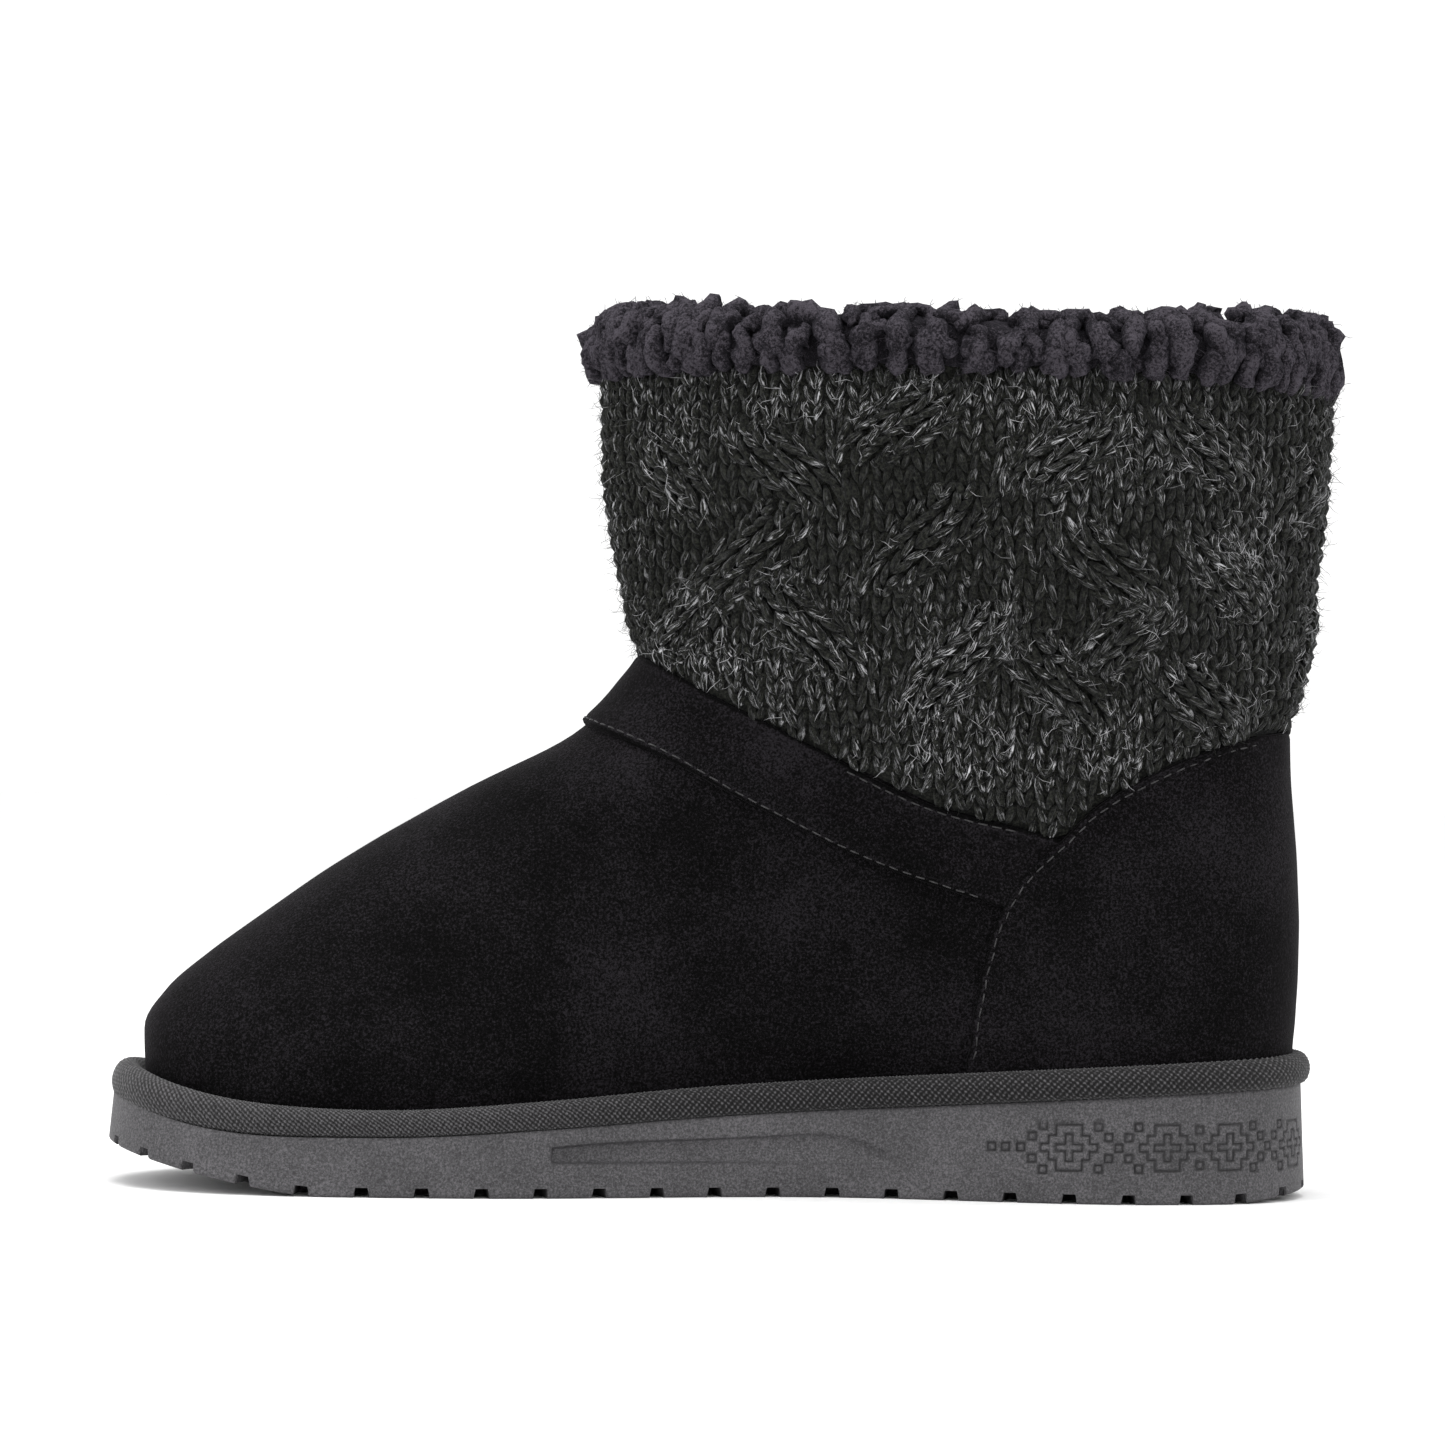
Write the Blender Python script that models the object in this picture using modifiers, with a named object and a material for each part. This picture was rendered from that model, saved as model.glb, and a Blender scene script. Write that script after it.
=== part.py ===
"""Right ankle boot with a knitted shaft and a fleece cuff, standing on its sole.

+X points from heel to toe, +Y to the inner side of the foot, +Z up. The rear end of the sole is
at x = 0 while the pieces are made, and at the end all of them move so that the middle of the
boot's outline is over the origin. Metres.
"""

import math

import bmesh
import bpy
import numpy as np
from mathutils import Matrix, Vector

# Sizes of the last
LAST_LENGTH = 0.2584
LAST_REAR = 0.0050
BALL_HALF_WIDTH = 0.0435
SWING = 0.0080
ANKLE_HEIGHT = 0.1220
COLLAR_HEIGHT = 0.1900
COLLAR_DROP = 0.0030

# Sizes of the sole
HEEL_THICKNESS = 0.0262
BALL_THICKNESS = 0.0128
TOE_SPRING = 0.0095
TOE_TOP_RISE = 0.0087
SPRING_START = 0.2220
HEEL_SPRING = 0.0020
HEEL_SPRING_LENGTH = 0.0200
WELT_AT_HEEL = 0.0050
WELT_AT_SIDE = 0.0055
WELT_AT_TOE = 0.0083
FLARE_AT_HEEL = 0.0011
FLARE_AT_TOE = 0.0011
EDGE_ROUND = 0.0008
NOTCH_PITCH = 0.01325
NOTCH_START = 0.17
NOTCH_WIDTH = 0.0032
NOTCH_TOP_WIDTH = 0.0025
NOTCH_HEIGHT = 0.0023
NOTCH_DEPTH = 0.0100
SCOOP_DEPTH = 0.0013
SCOOP_BOTTOM = 0.0066
SCOOP_HEIGHT = 0.0064

# Sizes of the pieces round the last
WELT_HEIGHT = 0.0070
WELT_OVERHANG = 0.0014
UPPER_WALL = 0.0030
INSOLE_THICKNESS = 0.0040
BAND_THICKNESS = 0.0014
COUNTER_THICKNESS = 0.0013
KNIT_THICKNESS = 0.0042
KNIT_SEAM_THICKNESS = 0.0016
KNIT_SEAM_RISE = 0.0090
CABLE_RELIEF = 0.0010
CABLE_STRANDS = 20
CABLE_REPEAT = 0.0290
CUFF_HEIGHT = 0.0152
CUFF_BOTTOM = 0.1832
CUFF_REAR_DROP = 0.0026
CUFF_OVERHANG = 0.0035
CUFF_INSIDE = 0.0070
CUFF_INSIDE_DEPTH = 0.0110
LOCK_RELIEF = 0.0011
LOCKS = 36

GAP = 0.0003
AROUND = 48
KNIT_AROUND = 60

# Where a section's half width is given, as a share of its length from its rear end.
WIDTH_STATIONS = (0.0, 0.12, 0.40, 0.72, 1.0)

# The last, a row for each section: its level, 0 at the feather line, 1 at the ankle and 2 at the
# collar; where its rear and front ends lie, as shares of the last's length from LAST_REAR; and its
# width at each station, as shares of BALL_HALF_WIDTH, which an ellipse's curve closes at both ends.
LAST_SECTIONS = (
    # level, rear, front, heel, seat, waist, ball, toe
    (0.000, 0.0000, 0.9990, 1.38, 1.00, 0.650, 1.110, 1.540),
    (0.070, 0.0000, 1.0000, 1.38, 1.00, 0.650, 1.110, 1.540),
    (0.155, -0.0025, 1.0010, 1.40, 1.04, 0.690, 1.140, 1.530),
    (0.250, -0.0037, 0.9830, 1.39, 1.06, 0.710, 1.110, 1.470),
    (0.350, -0.0038, 0.9440, 1.36, 1.07, 0.720, 1.040, 1.370),
    (0.440, -0.0030, 0.8985, 1.33, 1.06, 0.715, 0.970, 1.260),
    (0.530, -0.0010, 0.8460, 1.29, 1.03, 0.705, 0.900, 1.150),
    (0.700, 0.0048, 0.7255, 1.18, 0.96, 0.710, 0.830, 1.000),
    (0.826, 0.0064, 0.6250, 1.08, 0.94, 0.740, 0.820, 0.930),
    (0.912, 0.0045, 0.5895, 1.05, 0.95, 0.780, 0.850, 0.940),
    (1.000, 0.0010, 0.5680, 1.05, 0.97, 0.830, 0.890, 0.970),
    (1.132, -0.0035, 0.5705, 1.06, 0.99, 0.900, 0.940, 1.010),
    (1.332, -0.0090, 0.5820, 1.08, 1.03, 0.970, 1.000, 1.050),
    (1.600, -0.0155, 0.5925, 1.10, 1.06, 1.020, 1.040, 1.080),
    (2.000, -0.0195, 0.5955, 1.11, 1.07, 1.040, 1.060, 1.090),
)

# The sole's thickness, as a share of the way from the ball's thickness up to the heel's, against
# its length.
SOLE_PROFILE = (
    # length, rise
    (0.000, 1.000),
    (0.170, 0.800),
    (0.340, 0.567),
    (0.510, 0.351),
    (0.630, 0.164),
    (0.760, 0.022),
    (1.000, 0.000),
)

# The welt's height, as a share of WELT_HEIGHT, against the sole's length.
WELT_PROFILE = (
    # length, height
    (0.00, 0.97),
    (0.50, 0.95),
    (0.77, 0.84),
    (0.87, 1.00),
    (0.95, 1.24),
    (1.00, 1.46),
)

# Side-view lines of the sewn pieces: length as a share of the last's length from its rear end,
# height as a share of the ankle's height.
BAND_LOWER = (
    (0.655, 0.880),
    (0.616, 0.853),
    (0.560, 0.808),
    (0.466, 0.709),
    (0.362, 0.608),
    (0.220, 0.512),
)
BAND_UPPER = (
    (0.575, 0.992),
    (0.519, 0.925),
    (0.467, 0.871),
    (0.415, 0.816),
    (0.311, 0.716),
    (0.208, 0.662),
)
COUNTER_FRONT = (
    (0.287, 0.150),
    (0.285, 0.228),
    (0.278, 0.349),
    (0.270, 0.440),
    (0.255, 0.536),
    (0.233, 0.607),
    (0.204, 0.666),
    (0.174, 0.727),
    (0.130, 0.783),
    (0.086, 0.825),
    (0.039, 0.854),
    (0.000, 0.866),
)

# The scoop in the side of the sole: length as a share of the sole's, height as a share of
# SCOOP_HEIGHT.
SCOOP_OUTLINE = (
    (0.626, 0.00),
    (0.628, 0.30),
    (0.624, 0.44),
    (0.505, 0.80),
    (0.430, 0.98),
    (0.396, 1.00),
    (0.358, 0.70),
    (0.321, 0.05),
    (0.330, 0.00),
)

# The welt's section from its inner foot round: outward share of the welt's width, height share.
WELT_SECTION = (
    (0.00, 0.00),
    (0.70, 0.00),
    (0.93, 0.20),
    (1.00, 0.50),
    (0.88, 0.82),
    (0.56, 1.00),
    (0.20, 0.98),
    (0.00, 0.78),
)


def smooth(stations, values, at):
    """A curve through the values that never overshoots them: cubic steps whose slopes are the
    harmonic mean of the slopes on either side."""
    stations = np.asarray(stations, float)
    values = np.asarray(values, float)
    at = np.clip(at, stations[0], stations[-1])
    slopes = np.diff(values) / np.diff(stations)
    inner = np.zeros(len(values) - 2)
    same = slopes[:-1] * slopes[1:] > 0
    inner[same] = 2 * slopes[:-1][same] * slopes[1:][same] / (slopes[:-1] + slopes[1:])[same]
    tangents = np.concatenate([slopes[:1], inner, slopes[-1:]])
    low = np.clip(np.searchsorted(stations, at, side="right") - 1, 0, len(values) - 2)
    step = stations[low + 1] - stations[low]
    share = (at - stations[low]) / step
    start, end = values[low], values[low + 1]
    rise = tangents[low] * step, tangents[low + 1] * step
    return (
        start * (1 + 2 * share) * (1 - share) ** 2
        + rise[0] * share * (1 - share) ** 2
        + end * share**2 * (3 - 2 * share)
        - rise[1] * share**2 * (1 - share)
    )


def ease(share):
    """0 below 0, 1 above 1 and a soft step between."""
    share = np.clip(share, 0, 1)
    return share * share * (3 - 2 * share)


def columns(table):
    return [np.array(column) for column in zip(*table)]


LAST_FRONT = LAST_REAR + LAST_LENGTH
SOLE_LENGTH = LAST_FRONT + WELT_AT_TOE - LAST_REAR + WELT_AT_HEEL


def tread_height(x):
    """Height of the sole's underside: flat, and lifting a little at the heel and at the toe."""
    toe = TOE_SPRING * np.clip((x - SPRING_START) / (SOLE_LENGTH - SPRING_START), 0, None) ** 1.3
    heel = HEEL_SPRING * np.clip(1 - x / HEEL_SPRING_LENGTH, 0, None) ** 1.3
    return toe + heel


def sole_top(x):
    """Height of the sole's top, where the upper and the insole stand."""
    length, rise = columns(SOLE_PROFILE)
    share = smooth(length, rise, x / SOLE_LENGTH)
    toe = TOE_TOP_RISE * np.clip((x - SPRING_START) / (SOLE_LENGTH - SPRING_START), 0, None) ** 2.6
    return BALL_THICKNESS + (HEEL_THICKNESS - BALL_THICKNESS) * share + toe


def centre_line(x):
    """Sideways place of the last's middle: the waist swings out and the toe swings in."""
    share = (x - LAST_REAR) / LAST_LENGTH
    return SWING * smooth((0, 0.12, 0.42, 0.74, 0.9, 1.0), (0, 0, -0.75, -0.4, 0.3, 0.85), share)


def section(level, around):
    """Plan of the last at one level, anticlockwise from the toe, as x, y and share of length."""
    table = columns(LAST_SECTIONS)
    rear, front = (LAST_REAR + LAST_LENGTH * smooth(table[0], table[i], level) for i in (1, 2))
    widths = [BALL_HALF_WIDTH * smooth(table[0], column, level) for column in table[3:]]
    angle = 2 * math.pi * np.arange(around) / around
    share = (1 + np.cos(angle)) / 2
    x = rear + (front - rear) * share
    swing = centre_line(x) * ease(1.2 - level)
    y = swing + smooth(WIDTH_STATIONS, widths, share) * np.sin(angle)
    return x, y, share


def last_point_height(level, x):
    """A section's height: it bends from the feather line to level at the ankle and the collar."""
    collar = COLLAR_HEIGHT - COLLAR_DROP * (1 - (x - LAST_REAR) / (0.6 * LAST_LENGTH))
    foot = sole_top(x) + GAP + min(level, 1) * (ANKLE_HEIGHT - sole_top(x) - GAP)
    return foot + max(level - 1, 0) * (collar - ANKLE_HEIGHT)


def last_surface(levels, around, growth=0.0):
    """Points of the last, levels by around, grown outwards along their normals."""
    rows = []
    for level in levels:
        x, y, _ = section(level, around)
        rows.append(np.stack([x, y, last_point_height(level, x)], axis=1))
    grid = np.array(rows)
    along = np.roll(grid, -1, axis=1) - np.roll(grid, 1, axis=1)
    up = np.gradient(grid, axis=0)
    normal = np.cross(along, up)
    normal /= np.linalg.norm(normal, axis=2, keepdims=True)
    return grid + normal * np.broadcast_to(growth, grid.shape[:2])[..., None]


def moved_outwards(points, reach):
    """A closed outline in plan, each point moved along its normal."""
    along = np.roll(points, -1, axis=0) - np.roll(points, 1, axis=0)
    normal = np.stack([along[:, 1], -along[:, 0]], axis=1)
    normal /= np.linalg.norm(normal, axis=1, keepdims=True)
    return points + normal * np.broadcast_to(reach, len(points))[:, None]


def feather_outline(outward, around=AROUND):
    """The last's plan at the feather line, moved outwards; outward may differ point by point."""
    x, y, share = section(0.0, around)
    reach = outward(share) if callable(outward) else outward
    return moved_outwards(np.stack([x, y], axis=1), reach)


def welt_width(share):
    """How far the sole reaches past the last, against the share of length from the heel."""
    return smooth((0, 0.2, 0.8, 1), (WELT_AT_HEEL, WELT_AT_SIDE, WELT_AT_SIDE, WELT_AT_TOE), share)


def flare(share):
    return FLARE_AT_HEEL + (FLARE_AT_TOE - FLARE_AT_HEEL) * ease(share)


def roll_width(share):
    """Width of the welt's roll: it stands out past the sole's top edge, less towards the toe."""
    return welt_width(share) - flare(share) + WELT_OVERHANG * (1 - ease(share))


def ring(outline, height):
    """An outline in plan at a height, which may be a function of x."""
    z = height(outline[:, 0]) if callable(height) else np.full(len(outline), height)
    return np.column_stack([outline, z])


def welt_height(x):
    length, height = columns(WELT_PROFILE)
    return WELT_HEIGHT * smooth(length, height, x / SOLE_LENGTH)


def new_object(name, mesh, collection):
    obj = bpy.data.objects.new(name, mesh)
    collection.objects.link(obj)
    return obj


def mesh_of(name, points, faces):
    mesh = bpy.data.meshes.new(name)
    mesh.from_pydata(points.reshape(-1, 3).tolist(), [], faces)
    mesh.validate()
    return mesh


def strip_faces(rows, around, closed):
    """Quads between neighbouring rings, and from the last ring to the first where closed."""
    faces = []
    for row in range(rows if closed else rows - 1):
        for i in range(around):
            j = (i + 1) % around
            low, high = row * around, (row + 1) % rows * around
            faces.append((low + i, low + j, high + j, high + i))
    return faces


def cap_faces(first, around, up):
    """Quads from side to side over a ring, whose points at either side share their x."""
    faces = []
    for i in range(around // 2):
        quad = [first + k % around for k in (i, i + 1, around - i - 1, around - i)]
        quad = list(dict.fromkeys(quad))
        faces.append(quad if up else quad[::-1])
    return faces


def open_loft(name, rings, collection):
    rings = np.asarray(rings)
    faces = strip_faces(rings.shape[0], rings.shape[1], False)
    return new_object(name, mesh_of(name, rings, faces), collection)


def capped_loft(name, rings, collection):
    """A solid through rings from the bottom up, closed at both ends."""
    rings = np.asarray(rings)
    rows, around = rings.shape[:2]
    faces = strip_faces(rows, around, False)
    faces += cap_faces(0, around, False) + cap_faces((rows - 1) * around, around, True)
    return new_object(name, mesh_of(name, rings, faces), collection)


def hollow_loft(name, outer, inner, collection):
    """A hoop between an outer and an inner run of rings, both from the bottom up."""
    rings = np.concatenate([outer, inner[::-1]])
    faces = strip_faces(rings.shape[0], rings.shape[1], True)
    return new_object(name, mesh_of(name, rings, faces), collection)


def side_prism(name, outline, collection, half_width=0.12):
    """A flat side-view outline in x and z, drawn as a curve and made a slab across the boot."""
    curve = bpy.data.curves.new(name, "CURVE")
    curve.dimensions = "2D"
    curve.fill_mode = "BOTH"
    curve.extrude = half_width
    spline = curve.splines.new("POLY")
    spline.points.add(len(outline) - 1)
    spline.use_cyclic_u = True
    for point, (x, z) in zip(spline.points, outline):
        point.co = (x, z, 0, 1)
    drawn = new_object(name + "_curve", curve, collection)
    drawn.matrix_world = Matrix.Rotation(math.pi / 2, 4, "X")
    bpy.context.view_layer.update()
    mesh = bpy.data.meshes.new_from_object(drawn.evaluated_get(bpy.context.evaluated_depsgraph_get()))
    mesh.transform(drawn.matrix_world)
    bpy.data.objects.remove(drawn)
    weld = bmesh.new()
    weld.from_mesh(mesh)
    bmesh.ops.remove_doubles(weld, verts=weld.verts, dist=1e-6)
    bmesh.ops.recalc_face_normals(weld, faces=weld.faces)
    weld.to_mesh(mesh)
    weld.free()
    return as_cutter(new_object(name, mesh, collection))


def as_cutter(obj):
    obj.hide_render = True
    obj.display_type = "WIRE"
    return obj


def cut(obj, cutter, operation):
    modifier = obj.modifiers.new(cutter.name, "BOOLEAN")
    modifier.operation = operation
    modifier.object = cutter
    modifier.solver = "EXACT"
    return obj


def side_line(table):
    """A side-view table as points in metres."""
    return [
        (LAST_REAR + LAST_LENGTH * length, ANKLE_HEIGHT * height) for length, height in table
    ]


def moved(points, dx, dz):
    return [(x + dx, z + dz) for x, z in points]


def foot_levels():
    """The levels where the upper has its rings: the last's own sections and one or two between."""
    own = [row[0] for row in LAST_SECTIONS]
    return np.array(sorted({*own, 1.8}))


def make_material(name, colour, roughness):
    material = bpy.data.materials.new(name)
    material.use_nodes = True
    shader = material.node_tree.nodes["Principled BSDF"]
    shader.inputs["Base Color"].default_value = (*colour, 1)
    shader.inputs["Roughness"].default_value = roughness
    shader.inputs["Metallic"].default_value = 0
    material.diffuse_color = (*colour, 1)
    return material


def sole_rings():
    """The sole's rings from its tread edge to its top edge."""
    bottom = feather_outline(lambda s: welt_width(s) - EDGE_ROUND)
    edge = feather_outline(welt_width)
    top = feather_outline(lambda s: welt_width(s) - flare(s))
    return [
        ring(bottom, tread_height),
        ring(edge, lambda x: tread_height(x) + EDGE_ROUND),
        ring(top, sole_top),
    ]


def make_notches(collection):
    """Tapered blocks set round the tread edge at an even pitch, square to the edge."""
    edge = feather_outline(welt_width, 12 * AROUND)
    steps = np.linalg.norm(np.roll(edge, -1, axis=0) - edge, axis=1)
    travelled = np.concatenate([[0], np.cumsum(steps)])
    count = round(travelled[-1] / NOTCH_PITCH)
    closed = np.concatenate([edge, edge[:1]])
    blocks = bmesh.new()
    for k in range(count):
        at = travelled[-1] * (k + NOTCH_START) / count
        place = np.array([np.interp(at, travelled, closed[:, i]) for i in (0, 1)])
        ahead = np.array([np.interp(at + 1e-4, travelled, closed[:, i]) for i in (0, 1)])
        run = (ahead - place) / np.linalg.norm(ahead - place)
        floor = float(tread_height(place[0]))
        new = bmesh.ops.create_cube(blocks, size=1)["verts"]
        for vert in new:
            across, deep, high = vert.co
            width = NOTCH_TOP_WIDTH if high > 0 else 2 * NOTCH_WIDTH - NOTCH_TOP_WIDTH
            vert.co = Vector((across * width, deep * 2 * NOTCH_DEPTH, high * 2 * NOTCH_HEIGHT))
        frame = Matrix(
            (
                (run[0], run[1], 0, place[0]),
                (run[1], -run[0], 0, place[1]),
                (0, 0, 1, floor),
                (0, 0, 0, 1),
            )
        )
        bmesh.ops.transform(blocks, matrix=frame, verts=new)
    bmesh.ops.recalc_face_normals(blocks, faces=blocks.faces)
    mesh = bpy.data.meshes.new("notch_blocks")
    blocks.to_mesh(mesh)
    blocks.free()
    return as_cutter(new_object("notch_blocks", mesh, collection))


def make_scoops(collection):
    """The scoop's slab less a core that stops SCOOP_DEPTH inside the sole's side."""
    outline = [(SOLE_LENGTH * x, SCOOP_BOTTOM + SCOOP_HEIGHT * z) for x, z in SCOOP_OUTLINE]
    slab = side_prism("scoop_slab", outline, collection)
    inner = feather_outline(lambda s: welt_width(s) - flare(s) / 2 - SCOOP_DEPTH)
    core = as_cutter(
        capped_loft("scoop_core", [ring(inner, -0.01), ring(inner, 0.05)], collection)
    )
    return cut(slab, core, "DIFFERENCE")


def make_outsole(parts, cutters):
    outsole = capped_loft("outsole", sole_rings(), parts)
    cut(outsole, make_notches(cutters), "DIFFERENCE")
    return cut(outsole, make_scoops(cutters), "DIFFERENCE")


def make_welt(parts):
    """The taped welt: one rounded section carried round the last on the sole's rim."""
    rings = []
    for out, up in WELT_SECTION:
        outline = feather_outline(lambda s: 1.7 * GAP + out * roll_width(s))
        x = outline[:, 0]
        rings.append(np.column_stack([outline, sole_top(x) + GAP + up * welt_height(x)]))
    faces = strip_faces(len(rings), AROUND, True)
    return new_object("welt", mesh_of("welt", np.array(rings), faces), parts)


def make_upper(parts):
    """The foot and the shaft's backing: an open surface through the last's sections, thickened
    inwards. It is open at the collar and underneath."""
    upper = open_loft("upper", last_surface(foot_levels(), AROUND), parts)
    wall = upper.modifiers.new("wall", "SOLIDIFY")
    wall.thickness = UPPER_WALL
    wall.offset = -1
    wall.use_even_offset = True
    return upper


def make_insole(parts):
    inset = -(UPPER_WALL + GAP)
    outline = feather_outline(inset)
    edge = feather_outline(inset - EDGE_ROUND)
    rings = [
        ring(outline, lambda x: sole_top(x) + GAP),
        ring(outline, lambda x: sole_top(x) + GAP + INSOLE_THICKNESS - EDGE_ROUND),
        ring(edge, lambda x: sole_top(x) + GAP + INSOLE_THICKNESS),
    ]
    return capped_loft("insole", rings, parts)


def overlay(name, thickness, levels, parts):
    """A hoop of the last's own form, a gap above the upper."""
    outer = last_surface(levels, AROUND, 1.5 * GAP + thickness)
    inner = last_surface(levels, AROUND, 1.5 * GAP)
    return hollow_loft(name, outer, inner, parts)


def counter_outline(grow=0.0):
    """Side view of the heel counter: along the welt's top, up its front edge, to its back seam."""
    line = [(x + grow, z + grow) for x, z in side_line(COUNTER_FRONT)]
    x = np.linspace(-0.03, line[0][0], 8)
    foot = np.column_stack([x, sole_top(x) + welt_height(x) + 2 * GAP])
    edge = [point for point in line if point[1] > foot[-1, 1]]
    return [*map(tuple, foot), *edge, (-0.03, line[-1][1])]


def band_outline():
    lower, upper = side_line(BAND_LOWER), side_line(BAND_UPPER)
    reach = 0.05
    first, last = lower[0], upper[0]
    return [
        (first[0] + reach, first[1] + 0.4 * reach),
        *lower,
        *reversed(upper),
        (last[0] + reach, last[1] + 1.2 * reach),
    ]


def make_counter(parts, cutters):
    """The heel panel, from the welt's top to its back seam."""
    levels = [level for level in foot_levels() if 0.05 < level <= 1]
    counter = overlay("heel_counter", COUNTER_THICKNESS, levels, parts)
    return cut(counter, side_prism("counter_slab", counter_outline(), cutters), "INTERSECT")


def make_band(parts, cutters):
    """The instep band, cut from a hoop by its side view and stopped at the counter."""
    levels = [level for level in foot_levels() if 0.3 < level < 1.2]
    band = overlay("instep_band", BAND_THICKNESS, levels, parts)
    cut(band, side_prism("band_slab", band_outline(), cutters), "INTERSECT")
    clearance = side_prism("counter_clearance", counter_outline(GAP), cutters)
    return cut(band, clearance, "DIFFERENCE")


def cable_height(around, height):
    """Relief of the plaited cables, -1 to 1. Strands stand side by side round the shaft. In the
    lower half of each repeat the even pairs cross, the strand that leans forward on top, and in
    the upper half the odd pairs cross the other way."""
    place = around * CABLE_STRANDS
    turn = height / CABLE_REPEAT
    half = np.floor(2 * turn) % 2
    share = 2 * turn - np.floor(2 * turn)
    pair = np.floor((place + half) / 2) * 2 + 1 - half
    lean = np.where(half == 0, 1, -1)
    over = pair + lean * (ease(share) - 0.5)
    distance = place - over
    crossing = np.sin(math.pi * share) ** 2
    strand = np.cos(2 * math.pi * place) * -0.45 * (1 - crossing)
    ridge = np.exp(-((distance / 0.42) ** 2)) * 1.5 - 0.5
    return strand + ridge * crossing


def seam_height(x):
    """Height of the seam where the knit meets the band and the counter."""
    band = sorted(side_line(BAND_UPPER))
    counter = sorted(side_line(COUNTER_FRONT[6:]))
    band_x, band_z = zip(*band)
    counter_x, counter_z = zip(*counter)
    over_band = np.interp(x, band_x, band_z, left=0)
    over_counter = np.interp(x, counter_x, counter_z, right=0)
    return np.maximum(over_band, over_counter)


def knit_growth(grid, relief):
    """Thickness of the knit over the upper: pinched at the seam, full above it, and cabled."""
    x, z = grid[..., 0], grid[..., 2]
    free = ease((z - seam_height(x)) / KNIT_SEAM_RISE)
    around = np.arange(grid.shape[1]) / grid.shape[1]
    cables = CABLE_RELIEF * cable_height(around[None, :], z - ANKLE_HEIGHT) * relief
    return GAP + KNIT_SEAM_THICKNESS + free * (KNIT_THICKNESS - KNIT_SEAM_THICKNESS + cables)


def cuff_foot(x):
    """Height of the cuff's lower edge, which droops at the rear."""
    return CUFF_BOTTOM - CUFF_REAR_DROP * ease(1 - x / (0.14 * LAST_LENGTH))


def make_knit(parts, cutters):
    """The knitted shaft, a hoop over the upper that is cut off at the seams below."""
    levels = np.concatenate([np.linspace(0.60, 1.0, 6)[:-1], np.linspace(1.0, 1.9, 11)])
    grid = last_surface(levels, KNIT_AROUND)
    outer = last_surface(levels, KNIT_AROUND, knit_growth(grid, 1.0))
    backing = [level for level in foot_levels() if 0.60 < level < 1.9]
    inner = last_surface([0.60, *backing, 1.9], KNIT_AROUND, 2 * GAP)
    for rows in (outer, inner):
        rows[-1, :, 2] = cuff_foot(rows[-1, :, 0]) - GAP
    knit = hollow_loft("knit_shaft", outer, inner, parts)
    line = moved([*side_line(BAND_UPPER), *side_line(COUNTER_FRONT)[7:]], 0, 1.4 * GAP)
    above = [
        (line[0][0] + 0.05, line[0][1] + 0.06),
        *line,
        (line[-1][0] - 0.05, line[-1][1]),
        (line[-1][0] - 0.05, COLLAR_HEIGHT + 0.02),
        (line[0][0] + 0.05, COLLAR_HEIGHT + 0.02),
    ]
    return cut(knit, side_prism("knit_slab", above, cutters), "INTERSECT")


def cuff_section():
    """The cuff's section from its outer lower edge over the collar to its inner lower edge:
    growth from the last and height above CUFF_BOTTOM. The slot between holds the upper's rim."""
    out = KNIT_THICKNESS + CUFF_OVERHANG
    rim = COLLAR_HEIGHT - CUFF_BOTTOM + 2 * GAP
    inside = -(UPPER_WALL + CUFF_INSIDE)
    return (
        (2 * GAP, 0.0, 0),
        (out - 0.0015, 0.0, 0.3),
        (out, 0.25 * CUFF_HEIGHT, 1),
        (out - 0.0007, 0.62 * CUFF_HEIGHT, 1),
        (0.45 * out, 0.97 * CUFF_HEIGHT, 1),
        (-0.5 * UPPER_WALL - 0.001, CUFF_HEIGHT, 1),
        (0.85 * inside, 0.78 * CUFF_HEIGHT, 1),
        (inside, 0.2 * CUFF_HEIGHT, 0.5),
        (0.8 * inside, -CUFF_INSIDE_DEPTH, 0),
        (-(UPPER_WALL + 2 * GAP), -CUFF_INSIDE_DEPTH, 0),
        (-(UPPER_WALL + 2 * GAP), rim, 0),
        (2 * GAP, rim, 0),
    )


def make_cuff(parts):
    """The fleece cuff over the collar's rim, with its locks fused on as leaning lobes."""
    around = 2 * LOCKS
    step = np.arange(around)
    rings = []
    for row, (out, up, shaggy) in enumerate(cuff_section()):
        lobe = np.where((step + row) % 2 == 0, 1.0, -1.0) * (0.7 + 0.3 * np.cos(step * 1.7 + row))
        swell = LOCK_RELIEF * shaggy * lobe
        side = 1 if out > 0 else -1
        level = 1 + (CUFF_BOTTOM + up - ANKLE_HEIGHT) / (COLLAR_HEIGHT - ANKLE_HEIGHT)
        x, y, _ = section(min(level, 2.0), around)
        plan = moved_outwards(np.stack([x, y], axis=1), out + side * swell)
        height = cuff_foot(x) + up + (0.8 * swell if shaggy == 1 else 0)
        rings.append(np.column_stack([plan, height]))
    faces = strip_faces(len(rings), around, True)
    return new_object("fleece_cuff", mesh_of("fleece_cuff", np.array(rings), faces), parts)


def centre_all(objects):
    """Moves every mesh so that the middle of the boot's plan is over the origin."""
    graph = bpy.context.evaluated_depsgraph_get()
    corners = []
    for obj in objects:
        if not obj.hide_render:
            evaluated = obj.evaluated_get(graph)
            corners += [vert.co.copy() for vert in evaluated.to_mesh().vertices]
    low = Vector([min(c[i] for c in corners) for i in range(3)])
    high = Vector([max(c[i] for c in corners) for i in range(3)])
    shift = Vector((-(low.x + high.x) / 2, -(low.y + high.y) / 2, 0))
    for obj in objects:
        obj.data.transform(Matrix.Translation(shift))


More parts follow.
